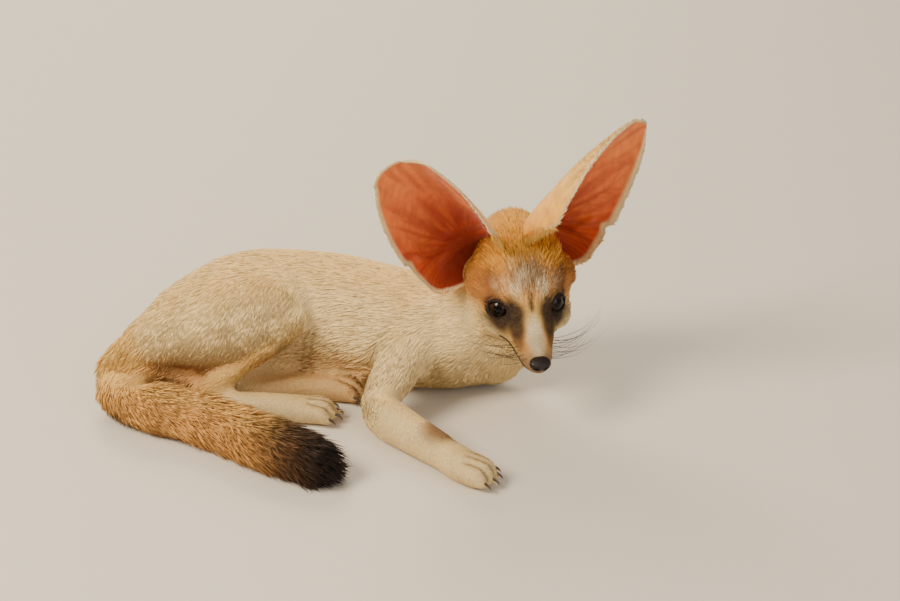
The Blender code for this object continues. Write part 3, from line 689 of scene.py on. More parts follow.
def markings(points, normals, weights):
    """Colour of the coat at each place: the stretches' own colours, then the body's warm and dark
    areas, the markings of the head and those of the tail, one over the other."""
    face = to_head(points)
    half_face = mirrored(face)
    a, side, c = half_face.T
    head = group_weight(weights, "head")
    # Body: warm along the spine; buff under the thigh and on the belly and dark along the crease of
    # the hind leg as painted shade; a dark spot low on the chest; painted shade on the near wrist
    # and between the toes
    spine = step(0.75, 0.98, normals[:, 2]) * (1 - head)
    # Umber on top of the near wrist: painted shade
    wrist_shade = spot(points, (46, -68, 20), (13, 12, 9)) * step(0.1, 0.7, normals[:, 2])
    colour = mix(weights @ HAIR_TINTS, SAND, 0.45 * spine)
    colour = spotted(colour, points, BODY_SHADE_AND_SPOTS)
    # Dark in the creases between the toes: painted shade
    colour = layered(colour, (UMBER, 0.85 * wrist_shade), (DARK, 0.75 * toe_creases(points)))
    # Head, from the broad areas to the small ones
    colour = mix(colour, BRIGHT_GOLD, head * (step(-4, -18, a) * step(0, 10, c)))
    # Painted shade on the temples
    colour = spotted(colour, half_face, TEMPLE_SHADE, head)
    colour = mix(colour, CREAM, head * step(10, 17, side) * step(-5, -12, c) * step(24, 8, a))
    colour = spotted(colour, half_face, BROW_SPOTS, head)
    streak = step(0.42, 0.62, noise(face * (0.25, 1.0, 0.25), 1.1, 13))
    outer_brow = spot(half_face, (-1, 17, 13.5), (7, 7, 3.6))
    brows = np.maximum(spot(half_face, (3, 8, 15), (6, 5, 5)), 0.5 * outer_brow)
    crown_streak = 0.3 * streak * head * spot(half_face, (-3, 3, 19), (12, 10, 9))
    colour = layered(colour, (PALE, head * brows * (0.25 + 0.6 * streak)), (PALE, crown_streak))
    colour = spotted(colour, half_face, MUZZLE_SPOTS, head)
    lids = np.maximum(in_opening(face, -1), in_opening(face, 1))
    colour = mix(colour, NEAR_BLACK, head * step(-3.4, -1.6, lids))
    # Tail: darker towards its end and black there; the darkening underneath and the dark spot low
    # on its outer bend are painted shade
    tail = group_weight(weights, "tail_root", "tail_brush")
    x, _, height = points.T
    rough = noise(points, 3.0, 11) - 0.5
    colour = layered(
        colour,
        (UMBER, tail * 0.75 * step(-84, -52, x)),
        # Darker underneath and low on the outer bend: painted shade
        (UMBER, tail * 0.8 * step(14, 2, height)),
        (DARK, tail * 0.8 * spot(points, (-152, -12, 8), (12, 14, 10))),
        (DARK, tail * step(-82, -36, x + 10 * rough)),
        (NEAR_BLACK, 0.7 * tail * step(-50, -28, x)),
    )
    shade = 0.93 + 0.14 * noise(points, 9.0, 12)
    return colour * shade[:, None]


def voxel_skin(points, triangles):
    """One closed surface round all the flesh, from Blender's voxel remesh."""
    source = make_mesh("flesh", points, triangles)
    fuse = source.modifiers.new("fuse", "REMESH")
    fuse.mode = "VOXEL"
    fuse.voxel_size = SKIN_VOXEL * MM
    bpy.context.view_layer.update()
    graph = bpy.context.evaluated_depsgraph_get()
    mesh = bpy.data.meshes.new_from_object(source.evaluated_get(graph))
    points, triangles = mesh_arrays(mesh)
    bpy.data.meshes.remove(mesh)
    bpy.data.objects.remove(source)
    return points / MM - SHIFT, triangles


def largest(points, triangles):
    """Only the surface that holds the most points, so that no sealed pocket stays inside."""
    label = np.arange(len(points))
    while True:
        low = label[triangles].min(1)
        fresh = label.copy()
        for corner in range(3):
            np.minimum.at(fresh, triangles[:, corner], low)
        fresh = fresh[fresh]
        if (fresh == label).all():
            break
        label = fresh
    keep = label == np.bincount(label).argmax()
    index = np.cumsum(keep) - 1
    return points[keep], index[triangles[keep[triangles].all(1)]]


def make_skin():
    """The skin: copies of the flesh nodes fused with the tail's core and solid eye and nose
    sockets, smoothed most on the trunk and least on face and feet, and set back by the coat."""
    tail_free = [name for name in FLESH if not name.startswith("tail")]
    forms = [cad_surface(name) for name in tail_free]
    forms.append(tube([row[:5] for row in TAIL], 20, 60, lift=(0.3, -0.3, 1)))
    for side in (-1, 1):
        centre = eye_frame(side)[0]
        ball, faces = round_form((0, 0, 0), (EYE_RADIUS + LID_THICKNESS,) * 3)
        forms.append((on_head(ball + centre), faces))
    ball, faces = round_form(NOSE_CENTRE, np.array(NOSE_SIZE) - 0.8)
    forms.append((on_head(ball), faces))
    points, triangles = largest(*voxel_skin(*joined(*forms)))
    weights = stretch_weights(points)
    fine, feet = group_weight(weights, "head", "feet"), group_weight(weights, "feet")
    points = relaxed(points, triangles, SMOOTHING[0], 0.5 - 0.38 * feet)
    points = relaxed(points, triangles, SMOOTHING[1], 0.5 * (1 - fine) + 0.04 * (1 - feet))
    normals = point_normals(points, triangles)
    lengths = weights @ HAIR_LENGTHS
    tail = group_weight(weights, "tail_root", "tail_brush")
    depth = (COAT_DEPTH[0] + COAT_DEPTH[1] * lengths) * (1 - tail)
    depth = depth + CREASE_DEPTH * toe_creases(points)
    points = points - normals * depth[:, None]
    points = open_lids(points)
    points[:, 2] = np.maximum(points[:, 2], FLOOR_GAP)
    return points, triangles


def open_lids(points):
    """Lays the skin round each eye on a lid just outside the eyeball, and sinks it behind the
    eyeball inside the opening."""
    face = to_head(points)
    for side in (-1, 1):
        centre, look, _, _ = eye_frame(side)
        away = face - centre
        radius = np.linalg.norm(away, axis=1)
        near = (radius < EYE_RADIUS + LID_REACH) & (away @ look > 1.5)
        inside = in_opening(face, side)
        lid = EYE_RADIUS + LID_GAP
        wanted = np.where(inside > 0, EYE_RADIUS - SOCKET_DEPTH, np.maximum(radius, lid))
        close = (inside < 0) & (inside > -LID_EDGE)
        wanted = np.where(close, lid + (wanted - lid) * step(0, -LID_EDGE, inside), wanted)
        moved = centre + away * (wanted / np.maximum(radius, 1e-6))[:, None]
        face = np.where(near[:, None], moved, face)
    return on_head(face)


class Wire:
    """A socket in a node tree, with arithmetic that adds Math nodes."""

    def __init__(self, tree, socket):
        self.tree, self.socket = tree, socket

    def math(self, operation, *others):
        node = self.tree.nodes.new("ShaderNodeMath")
        node.operation = operation
        for slot, item in zip(node.inputs, (self, *others)):
            attach(self.tree, item, slot)
        return Wire(self.tree, node.outputs[0])

    def __add__(self, other):
        return self.math("ADD", other)

    def __mul__(self, other):
        return self.math("MULTIPLY", other)

    def __rsub__(self, other):
        return self * -1.0 + other

    __radd__ = __add__
    __rmul__ = __mul__

    def eased(self, low, high):
        """Eased step from 0 at low to 1 at high."""
        node = self.tree.nodes.new("ShaderNodeMapRange")
        node.interpolation_type = "SMOOTHSTEP"
        attach(self.tree, self, node.inputs["Value"])
        node.inputs["From Min"].default_value = low
        node.inputs["From Max"].default_value = high
        return Wire(self.tree, node.outputs["Result"])


def attach(tree, value, slot):
    """Links a wire to a socket, or gives the socket a plain value."""
    if isinstance(value, Wire):
        tree.links.new(value.socket, slot)
    elif slot.type == "RGBA" and len(value) == 3:
        slot.default_value = (*value, 1)
    else:
        slot.default_value = value


def fill(tree, node, sockets):
    """Links or sets a node's sockets by their names, where an underscore stands for a space."""
    for key, value in sockets.items():
        attach(tree, value, node.inputs[key.replace("_", " ")])


class Finish:
    """A material under construction."""

    def __init__(self, name, **constants):
        self.material = bpy.data.materials.new(name)
        self.material.use_nodes = True
        self.tree = self.material.node_tree
        self.shader = self.tree.nodes["Principled BSDF"]
        self.set(**constants)

    def node(self, kind, output=0, settings=None, **sockets):
        """Adds a node, with its settings first and then its sockets' values or links."""
        made = self.tree.nodes.new("ShaderNode" + kind)
        for key, value in (settings or {}).items():
            setattr(made, key, value)
        fill(self.tree, made, sockets)
        return Wire(self.tree, made.outputs[output])

    def place(self, scale=(1, 1, 1)):
        """Object coordinates in metres, stretched."""
        coordinates = self.node("TexCoord", "Object")
        return self.node("Mapping", 0, None, Vector=coordinates, Scale=scale)

    def noise(self, scale, detail=3.0, roughness=0.5, stretch=(1, 1, 1)):
        """Noise on the object coordinates."""
        return self.node("TexNoise", 0, None, Vector=self.place(stretch), Scale=scale,
                         Detail=detail, Roughness=roughness)

    def tint(self):
        """The piece's own colours, point by point."""
        return self.node("Attribute", "Color", {"attribute_name": "tint"})

    def blend(self, share, first, second, kind="MIX"):
        """Mixes two colours."""
        made = self.tree.nodes.new("ShaderNodeMix")
        made.data_type = "RGBA"
        made.blend_type = kind
        attach(self.tree, share, made.inputs[0])
        attach(self.tree, first, made.inputs[6])
        attach(self.tree, second, made.inputs[7])
        return Wire(self.tree, made.outputs[2])

    def bump(self, height, distance, strength=0.5):
        """Feeds the shader's normal from a height."""
        made = self.node("Bump", 0, None, Height=height, Distance=distance, Strength=strength)
        self.set(Normal=made)

    def set(self, **sockets):
        """Links or sets the shader's own sockets."""
        fill(self.tree, self.shader, sockets)
        return self.material


def coat_finish():
    """Hair: the coat's own colours with a fine change from hair to hair."""
    made = Finish("coat_hair", Specular_IOR_Level=0.25, Sheen_Weight=0.04, Sheen_Roughness=0.5)
    fine = made.noise(900.0)
    grey = made.blend(fine, (0.25, 0.25, 0.25), (0.75, 0.75, 0.75))
    colour = made.blend(0.5, made.tint(), grey, "OVERLAY")
    return made.set(Base_Color=colour, Roughness=fine * 0.2 + 0.55)


def skin_finish():
    """Skin and underfur below the tufts: the coat's colours, matt and finely furrowed."""
    made = Finish("underfur", Roughness=0.9, Specular_IOR_Level=0.2)
    furrow = made.noise(700.0, 4.0, 0.7)
    made.bump(furrow, 0.0006, 0.6)
    shade = furrow.eased(0.25, 0.7) * 0.35
    return made.set(Base_Color=made.blend(shade, made.tint(), (0.16, 0.09, 0.05)))


def ear_finish():
    """Thin ear skin: its own colours under fine pores and short creases, with a soft gloss."""
    made = Finish("ear_skin", Specular_IOR_Level=0.4, Sheen_Weight=0.25, Sheen_Roughness=0.4,
                  Subsurface_Weight=0.06, Subsurface_Scale=0.003)
    made.set(Subsurface_Radius=(1.0, 0.35, 0.2))
    pores = made.noise(1500.0, 3.0, 0.6)
    folds = made.noise(260.0, 4.0, 0.6, (1, 1, 0.35))
    made.bump(pores * 0.4 + folds * 0.6, 0.0004, 0.5)
    shade = made.blend(folds.eased(0.3, 0.75) * 0.3, made.tint(), (0.30, 0.05, 0.02))
    return made.set(Base_Color=shade, Roughness=folds * 0.3 + 0.42)


def eye_finish():
    """Eyeball: dark iris and pupil under a clear wet coat."""
    made = Finish("eye_wet", Roughness=0.5, Specular_IOR_Level=0.0, Coat_Weight=1.0,
                  Coat_Roughness=0.03, Coat_IOR=1.28)
    fibres = made.noise(1800.0, 3.0, 0.6)
    shade = made.blend(fibres.eased(0.35, 0.75) * 0.5, made.tint(), (0.004, 0.003, 0.002))
    return made.set(Base_Color=shade)


def leather_finish(name, scale, distance, rough, wet):
    """Dark moist leather with rounded pebbles parted by fine grooves, painted darker in the grooves
    as painted shade.
    """
    made = Finish(name, Specular_IOR_Level=0.3, Coat_Weight=wet, Coat_Roughness=0.25)
    pebbles = made.node("TexVoronoi", 0, {"feature": "F1"}, Vector=made.place(), Scale=scale)
    fine = made.noise(scale * 2.5)
    made.bump(1.0 - pebbles * 0.8 + fine * 0.15, distance, 0.8)
    # Near-black in the grooves between pebbles: painted shade
    shade = made.blend(pebbles.eased(0.35, 0.85), made.tint(), (0.008, 0.006, 0.005))
    return made.set(Base_Color=shade, Roughness=pebbles * 0.25 + rough)


def horn_finish():
    """Claws: dark horn, paler along faint growth lines."""
    made = Finish("claw_horn", Specular_IOR_Level=0.5)
    bands = made.noise(500.0, stretch=(1, 1, 4))
    made.bump(bands, 0.0002, 0.4)
    shade = made.blend(bands.eased(0.35, 0.7), (0.035, 0.022, 0.015), (0.15, 0.10, 0.065))
    return made.set(Base_Color=shade, Roughness=bands * 0.2 + 0.25)


def whisker_finish():
    """Whiskers: stiff dark hairs, a little paler in places."""
    made = Finish("whisker_hair", Specular_IOR_Level=0.5)
    change = made.noise(120.0)
    shade = made.blend(change.eased(0.4, 0.7), (0.012, 0.009, 0.007), (0.07, 0.045, 0.03))
    return made.set(Base_Color=shade, Roughness=change * 0.2 + 0.3)


def unwrap(item):
    """UV places of the skin's loops from Blender's angle-based projection, read per corner."""
    bpy.context.view_layer.objects.active = item
    item.select_set(True)
    bpy.ops.object.mode_set(mode="EDIT")
    bpy.ops.mesh.select_all(action="SELECT")
    bpy.ops.uv.smart_project(angle_limit=math.radians(66), island_margin=0.002)
    bpy.ops.object.mode_set(mode="OBJECT")
    layer = item.data.uv_layers.active
    layer.name = "OFBake"
    places = np.empty(len(item.data.loops) * 2, np.float32)
    layer.data.foreach_get("uv", places)
    return places.reshape(-1, 3, 2)


def scatter(points, triangles, chance, count, rng):
    """Random places on a surface: the triangle of each, chosen by its area and its chance, and
    the shares of its corners."""
    area = np.linalg.norm(triangle_normals(points, triangles), axis=1) * chance
    total = np.cumsum(area)
    even = (np.arange(count) + rng.random(count)) / count
    chosen = np.minimum(np.searchsorted(total, even * total[-1]), len(triangles) - 1)
    first, second = rng.random((2, count))
    root = np.sqrt(first)
    return chosen, np.stack([1 - root, root * (1 - second), root * second], axis=1)


# Rings of a tuft: share of the length and share of the width, before the point of its tip
SHORT_TUFT = ((0.0, 0.85), (0.5, 0.9))
LONG_TUFT = ((0.0, 0.8), (0.35, 1.0), (0.7, 0.7))


def tufts(roots, normals, ways, lengths, widths, lift, droop, rings, rng):
    """Thin tapered locks of three sides: each starts just under the skin, rises by its lift and
    droops back along the way of the hair. Returns their points, triangles and the share of the
    length at each point."""
    count, sides = len(roots), 3
    twist = rng.normal(0, 0.35, count)[:, None]
    across = unit(np.cross(ways, normals))
    flat = unit(across * np.cos(twist) + normals * np.sin(twist))
    thick = np.cross(flat, ways)
    shares = np.array([share for share, _ in rings] + [1.0])
    reach = lengths[:, None] * shares
    rise = reach * lift[:, None] - droop[:, None] * reach * shares - 0.5
    bend = rng.normal(0, 0.06, count)[:, None] * reach * shares
    line = (roots[:, None] + ways[:, None] * reach[..., None] + normals[:, None] * rise[..., None]
            + across[:, None] * bend[..., None])
    corners = np.array([(-1.0, 0.0), (1.0, 0.0), (0.0, 0.7)])
    wide = widths[:, None] / 2 * np.array([width for _, width in rings])
    offset = (flat[:, None, None] * corners[None, None, :, :1]
              + thick[:, None, None] * corners[None, None, :, 1:]) * wide[:, :, None, None]
    body = line[:, :-1, None] + offset
    points = np.concatenate([body.reshape(count, -1, 3), line[:, -1:]], axis=1)
    per = points.shape[1]
    faces = []
    for k in range(len(rings) - 1):
        for side in range(sides):
            low, low_next = k * sides + side, k * sides + (side + 1) % sides
            faces += [(low, low_next, low_next + sides), (low, low_next + sides, low + sides)]
    last = (len(rings) - 1) * sides
    faces += [(last + side, last + (side + 1) % sides, per - 1) for side in range(sides)]
    triangles = np.array(faces)[None] + (np.arange(count) * per)[:, None, None]
    share = np.repeat(shares, [sides] * len(rings) + [1])
    side_share = np.concatenate([np.tile([0.0, 1.0, 0.5], len(rings)), [0.5]])
    return points.reshape(-1, 3), triangles.reshape(-1, 3), share, side_share


def coat_piece(name, roots, normals, ways, lengths, widths, lift, droop, tint, places, rings, rng):
    """One piece of the coat, darker at the roots, with its tufts' colours and their patches on the
    unwrap."""
    points, triangles, share, side_share = tufts(
        roots, normals, ways, lengths, widths, lift, droop, rings, rng)
    change = rng.normal(1.0, 0.07, len(roots))[:, None, None]
    shade = (0.80 + 0.25 * share)[None, :, None]
    colour = (tint[:, None] * shade * change).reshape(-1, 3)
    patch = np.stack([side_share, share], axis=1) * PATCH - PATCH / 2
    uv = np.clip(places[:, None] + patch[None], 0, 1).reshape(-1, 2)
    finished(make_mesh(name, points, triangles, np.clip(colour, 0, 1), uv), "coat")


def finished(piece, material):
    """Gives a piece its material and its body."""
    piece.data.materials.append(materials[material])
    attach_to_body(piece, "root")
    return piece


# How far tufts differ from their mean length, lift and width
LENGTH_SPREAD, LIFT_SPREAD, WIDTH_SPREAD = (0.7, 1.15), (0.6, 1.5), (0.7, 1.2)
# Coat groups: number of tufts, width in millimetres, rings
COAT = {
    "head": (21000, 0.75, SHORT_TUFT),
    "front": (16000, 1.15, SHORT_TUFT),
    "middle": (14000, 1.2, SHORT_TUFT),
    "rear": (12500, 1.2, SHORT_TUFT),
    "thigh": (13500, 1.1, SHORT_TUFT),
    "legs": (14500, 0.95, SHORT_TUFT),
    "feet": (10000, 0.75, SHORT_TUFT),
    "tail_root": (9500, 1.25, LONG_TUFT),
    "tail_brush": (11500, 1.3, LONG_TUFT),
}


def make_coat(points, triangles, normals, corner_places):
    """Tufts all over the skin, group by group."""
    centres = points[triangles].mean(1)
    weights = stretch_weights(centres)
    group_of = HAIR_GROUPS[weights.argmax(1)]
    face = to_head(centres)
    bare = np.zeros(len(centres), bool)
    for side in (-1, 1):
        bare |= in_opening(face, side) > -1.2
    bare |= np.linalg.norm((face - NOSE_CENTRE) / (np.array(NOSE_SIZE) + 0.6), axis=1) < 1
    hidden = centres[:, 2] < 1.0
    for number, (group, (count, width, rings)) in enumerate(COAT.items()):
        rng = np.random.default_rng(SEED + number)
        chance = ((group_of == group) & ~bare & ~hidden).astype(float)
        chosen, shares = scatter(points, triangles, chance, count, rng)
        corners = triangles[chosen]
        roots = (points[corners] * shares[..., None]).sum(1)
        up = unit((normals[corners] * shares[..., None]).sum(1))
        places = (corner_places[chosen] * shares[..., None]).sum(1)
        part = stretch_weights(roots)
        ways = lie_of_hair(roots, up, part)
        ways = unit(ways + swirl(roots, 7.0, 0.5, 21) + rng.normal(0, 0.10, roots.shape))
        ways = laid(ways, up)
        long = part @ HAIR_LENGTHS
        patches = 0.85 + 0.3 * noise(roots, 12.0, 24)
        lengths = long * rng.uniform(*LENGTH_SPREAD, count) * patches
        lift = part @ HAIR_LIFTS * rng.uniform(*LIFT_SPREAD, count)
        lengths, lift = face_trim(roots, lengths, lift)
        tint = markings(roots, up, part)
        widths = width * rng.uniform(*WIDTH_SPREAD, count)
        droop = lift * (0.3 if group.startswith("tail") else 0.55)
        coat_piece("coat_" + group, roots, up, ways, lengths, widths, lift, droop, tint, places,
                   rings, rng)


def face_trim(roots, lengths, lift):
    """Shorter, flatter hair round the eyes, and a raised fringe where the ears leave the brow."""
    face = mirrored(to_head(roots))
    eye = spot(face, (EYE_PLACE[0] + 3, EYE_PLACE[1] + 3, EYE_PLACE[2] + 2), (11, 9, 9))
    brow, nape = spot(face, (-20, 15, 24), (10, 9, 9)), spot(face, (-36, 0, 26), (12, 16, 9))
    fringe = np.maximum(brow, 0.8 * nape)
    return lengths * (1 - 0.55 * eye + 0.35 * fringe), lift * (1 - 0.5 * eye + 1.4 * fringe)


def swirl(points, scale, strength, seed):
    """Smooth random directions that bend the hair into locks."""
    return strength * (np.stack([noise(points, scale, seed + k) for k in range(3)], axis=1) - 0.5)


def flat_ear(t, around):
    """Places on an ear laid flat, in millimetres across and along."""
    return around * np.interp(t, EAR_TABLE[:, 0], EAR_TABLE[:, 1]), t * EAR_LENGTH


def ear_map(half, t, outer=False):
    """UV places on an ear: its inner side fills the left half of the map and its outer side, turned
    over, the right half. half runs from -1 to 1 across the side."""
    across = MAP_MARGIN + MAP_HALF * (half + 1)
    upward = MAP_MARGIN + (1 - 2 * MAP_MARGIN) * t
    return np.stack([1 - across if outer else across, upward], axis=-1)


def vein_lines(rng):
    """Branching lines on an ear laid flat, in millimetres across and along: each segment's two
    ends and its half width. Lines fan out from low in the middle, wander and fork."""
    segments = []
    stack = [(np.array([1.0, 14.0]), angle, 1.1, 0) for angle in np.linspace(-62, 62, 9)]
    while stack:
        place, angle, wide, depth = stack.pop()
        for count in range(rng.integers(4, 7) if depth else 7):
            turn = math.radians(angle)
            there = place + rng.uniform(4.0, 6.5) * np.array([math.sin(turn), math.cos(turn)])
            segments.append((*place, *there, wide))
            place, wide = there, wide * 0.93
            angle = 0.93 * angle + rng.normal(0, 11)
            if depth < 2 and count in (2, 4):
                fork = rng.choice((-1, 1)) * rng.uniform(22, 38)
                stack.append((place, angle + fork, wide * 0.75, depth + 1))
    return np.array(segments)


def vein_strength(x, y, segments):
    """How near each place on the flat ear is to a vein, from 0 to 1."""
    strongest = np.zeros(x.shape)
    for x0, y0, x1, y1, wide in segments:
        line = np.array([x1 - x0, y1 - y0])
        along = np.clip(((x - x0) * line[0] + (y - y0) * line[1]) / (line @ line), 0, 1)
        away = np.hypot(x - x0 - along * line[0], y - y0 - along * line[1])
        strongest = np.maximum(strongest, min(wide, 1.0) * bell(away, 0.5 + wide))
    return strongest


def ear_colours(name, t, around, veins):
    """Colours of the ear's inner side: orange above, red in the middle and low down, streaked and
    veined, brown behind the ridge with a painted shadow of the ridge beside it, and a pale rim."""
    x, y = flat_ear(t, around)
    flat = np.stack([x, y, 0 * x], axis=1)
    fan, reach = np.arctan2(x - 1, np.maximum(y - 8, 1)), np.hypot(x - 1, y - 8)
    streak = noise(np.stack([fan * 26, reach / 22, 0 * fan], axis=1), 1.0, 31)
    patch = noise(flat, 13.0, 32)
    # Painted shadow cast by the ridge on the cup
    painted_ridge_shadow = bell(around + 0.66, 0.05) * step(0.85, 0.3, t)
    end = EAR_ENDS[name][1]
    rim = np.maximum(step(0.88, 0.96, np.abs(around)), step(end - 0.022, end - 0.01, t))
    return layered(
        mix(EAR_RED, EAR_ORANGE, step(0.15, 0.8, t + 0.4 * (patch - 0.5))),
        (EAR_DEEP, 0.75 * spot(flat, (4, 34, 0), (13, 24, 9))),
        (EAR_ORANGE, 0.5 * spot(flat, (15, 50, 0), (9, 20, 9))),
        (EAR_DEEP, 0.35 * step(0.5, 0.85, streak)),
        (EAR_ORANGE, 0.3 * step(0.5, 0.2, streak)),
        (EAR_DEEP * 0.8, 0.65 * veins),
        (TAWNY, 0.6 * step(-0.62, -0.8, around) * step(0.9, 0.5, t)),
        (EAR_DEEP * 0.6, 0.6 * painted_ridge_shadow),
        (EAR_DEEP * 0.55, 0.8 * step(0.22, 0.05, t)),
        (CREAM, rim),
    )


def ear_relief(t, around, veins):
    """Height of the ear's inner side: a long ridge by the inner rim, a folded pouch low on the
    outer rim, soft cross folds, and veins that stand out a little."""
    ridge = 1.1 * bell(around + 0.58, 0.07) * step(0.9, 0.6, t) * step(0.04, 0.15, t)
    valley = -0.5 * bell(around + 0.68, 0.06) * step(0.85, 0.5, t)
    lip = around - 0.62 - 1.5 * (t - 0.24)
    span = step(0.36, 0.31, t) * step(0.12, 0.2, t) * step(0.5, 0.7, around)
    pouch = 1.6 * bell(lip, 0.06) * span
    folds = 0.35 * np.sin(t * 58 + 2.5 * around) * step(0.45, 0.12, t)
    folds = folds * step(0.9, 0.5, np.abs(around))
    return ridge + valley + pouch + folds + 0.22 * veins


def make_ear(name, rng, rows=230, columns=110):
    """One ear: a thin shell round the solid's middle surface, as rings that run up the inner side
    and back over the outer side, with its rim rounded."""
    half = np.linspace(-1, 1, columns)
    end = EAR_ENDS[name][1]
    height = end * (1 - (1 - np.linspace(0, 1, rows)) ** 1.4)
    t = np.repeat(height[:, None], columns, axis=1)
    around = np.sin(half * math.pi / 2)[None] + 0 * t
    middle, inward = ear_surface(name, t, around)
    flat_t, flat_around = t.ravel(), around.ravel()
    veins = vein_strength(*flat_ear(flat_t, flat_around), vein_lines(rng))
    relief = ear_relief(flat_t, flat_around, veins).reshape(rows, columns)
    taper = np.minimum(1, (end - t) * 12 + 0.2)
    thick = 0.12 + 0.62 * np.sqrt(np.maximum(0, 1 - around**8)) * taper
    relief = np.maximum(relief, -0.5) * step(1.0, 0.96, np.abs(around))
    front = middle + inward * (thick + relief)[..., None]
    back = middle - inward * thick[..., None]
    ring = np.concatenate([front, back[:, ::-1]], axis=1)
    points, triangles = capped(ring, rows, 2 * columns)
    inner = ear_colours(name, flat_t, flat_around, veins).reshape(rows, columns, 3)
    shade = 0.85 + 0.3 * noise(back.reshape(-1, 3), 5.0, 33).reshape(rows, columns, 1)
    outer = mix(BRIGHT_GOLD, SAND, step(0.3, 0.9, t)) * shade
    tint = with_ends(np.concatenate([inner, outer[:, ::-1]], axis=1).reshape(-1, 3))
    sides = np.broadcast_arrays(half[None], height[:, None])
    uv = np.concatenate([ear_map(*sides), ear_map(*sides, outer=True)], axis=1)
    uv = np.concatenate([uv.reshape(-1, 2), [(0.5, 0.01), (0.5, 0.99)]])
    if np.cross(middle[1, 0] - middle[0, 0], middle[0, 1] - middle[0, 0]) @ inward[0, 0] > 0:
        triangles = triangles[:, ::-1]
    shell = finished(make_mesh(name + "_shell", on_head(points), triangles, tint, uv), "ear")
    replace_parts(shell, name)


def ear_hair(name, part, rng):
    """One kind of hair on an ear: short fur behind, the fringe of the rim, or long hair inside."""
    count = EAR_HAIR[part]
    t, around = rng.random(count), rng.uniform(-1, 1, count)
    start, end = EAR_ENDS[name]
    if part == "back":
        t = end - 0.03 - 0.87 * rng.random(count) ** 0.85
    elif part == "rim":
        around = np.where(rng.random(count) < 0.5, -1, 1) * rng.uniform(0.93, 1.0, count)
        bend = np.sin(math.pi / 2 * np.clip((t - 0.7) / 0.3, 0, 1))
        t = 0.06 + (start - 0.06) * np.minimum(t / 0.7, 1) + (end - 0.003 - start) * bend
    elif part == "inner":
        t, around = 0.22 + 0.45 * t**1.3, -0.97 + 0.35 * rng.random(count) ** 1.6
    else:
        t, around = 0.08 + 0.30 * t, -1 + 0.22 * rng.random(count)
    place, inward = ear_surface(name, t, around)
    above = ear_surface(name, np.minimum(t + 0.01, 1.0), around)[0]
    upward = unit(above - ear_surface(name, t - 0.02, around)[0])
    beside = ear_surface(name, t, np.minimum(around + 0.02, 1.02))[0]
    aside = unit(beside - place) * np.sign(around)[:, None]
    thick = np.where(np.abs(around) > 0.9, 0.3, 0.6)[:, None]
    wild = rng.normal(0, 1, (count, 3))
    if part == "back":
        up, way = -inward, upward + 0.35 * aside + 0.12 * wild
        low = step(0.26, 0.05, t)
        long, wide, lift = (4.6 - 1.8 * t) * (1 - 0.6 * low), 0.85, 0.13 + 0.35 * low
        shade = (0.85 + 0.3 * noise(place, 6.0, 34))[:, None]
        tint = mix(BRIGHT_GOLD, SAND, step(0.2, 0.9, t)) * shade
        tint = mix(tint, PALE, 0.8 * step(0.82, 0.97, np.abs(around)) * step(0.2, 0.36, t))
    elif part == "rim":
        up = unit(inward * rng.normal(0, 1, count)[:, None] + aside)
        way = 0.9 * upward + 0.75 * aside + 0.16 * wild
        long, wide, lift = 2.7 - 1.0 * t, 0.42, 0.12
        tint = mix(PALE, BRIGHT_GOLD, step(0.36, 0.2, t) * (around < 0))
    elif part == "inner":
        up, way = inward, 0.7 * upward - 0.75 * aside + 0.15 * wild
        long, wide, lift = 8.5 - 5.0 * t, 0.36, 0.22
        tint = mix(BRIGHT_GOLD, EAR_ORANGE, 0.3 + 0.6 * rng.random(count))
    else:
        up, way = unit(0.5 * aside - inward), aside - 0.5 * upward + 0.25 * wild
        long, wide, lift = 8.0 - 8 * t, 0.55, 0.15
        tint = mix(BRIGHT_GOLD, SAND, rng.random(count))
    roots = place + up * thick
    way = laid(way, up)
    lengths = long * rng.uniform(0.7, 1.2, count)
    lift = lift * rng.uniform(0.5, 1.6, count)
    half = np.arcsin(np.clip(around, -1, 1)) * 2 / math.pi
    places = ear_map(half, t, outer=part == "back")
    widths = wide * rng.uniform(*WIDTH_SPREAD, count)
    coat_piece("coat_" + name + "_" + part, on_head(roots), up @ HEAD.T, way @ HEAD.T, lengths,
               widths, lift, lift * 0.5, tint, places, SHORT_TUFT, rng)


def make_eye(name, side):
    """Eyeball: rings round the line of sight, a little fuller over the iris, with the dark pupil,
    the brown iris and its darker border coloured by the angle from the line of sight."""
    centre, look, corner, upward = eye_frame(side)
    rows, columns = 72, 96
    tilt, turn = ball_angles(rows, columns)
    radius = EYE_RADIUS - 0.2 + 0.45 * bell(tilt, 0.55)
    flat = corner * np.cos(turn)[..., None] + upward * np.sin(turn)[..., None]
    ring = (look * np.cos(tilt)[..., None] + flat * np.sin(tilt)[..., None]) * radius[..., None]
    points, triangles = capped(ring, rows, columns)
    place = np.stack(np.broadcast_arrays(np.cos(turn) * 9, np.sin(turn) * 9, tilt * 2), axis=-1)
    spokes = noise(place.reshape(-1, 3), 1.0, 41)
    tilt = np.repeat(tilt.ravel(), columns)
    tint = layered(
        mix(IRIS_BRIGHT, IRIS_DEEP, step(0.3, 0.8, spokes)),
        (IRIS_EDGE, step(0.80, 0.92, tilt)),
        (PUPIL, step(0.46, 0.40, tilt)),
    )
    ball = make_mesh(name + "_ball", on_head(points + centre), triangles, with_ends(tint))
    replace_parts(finished(ball, "eye"), name)


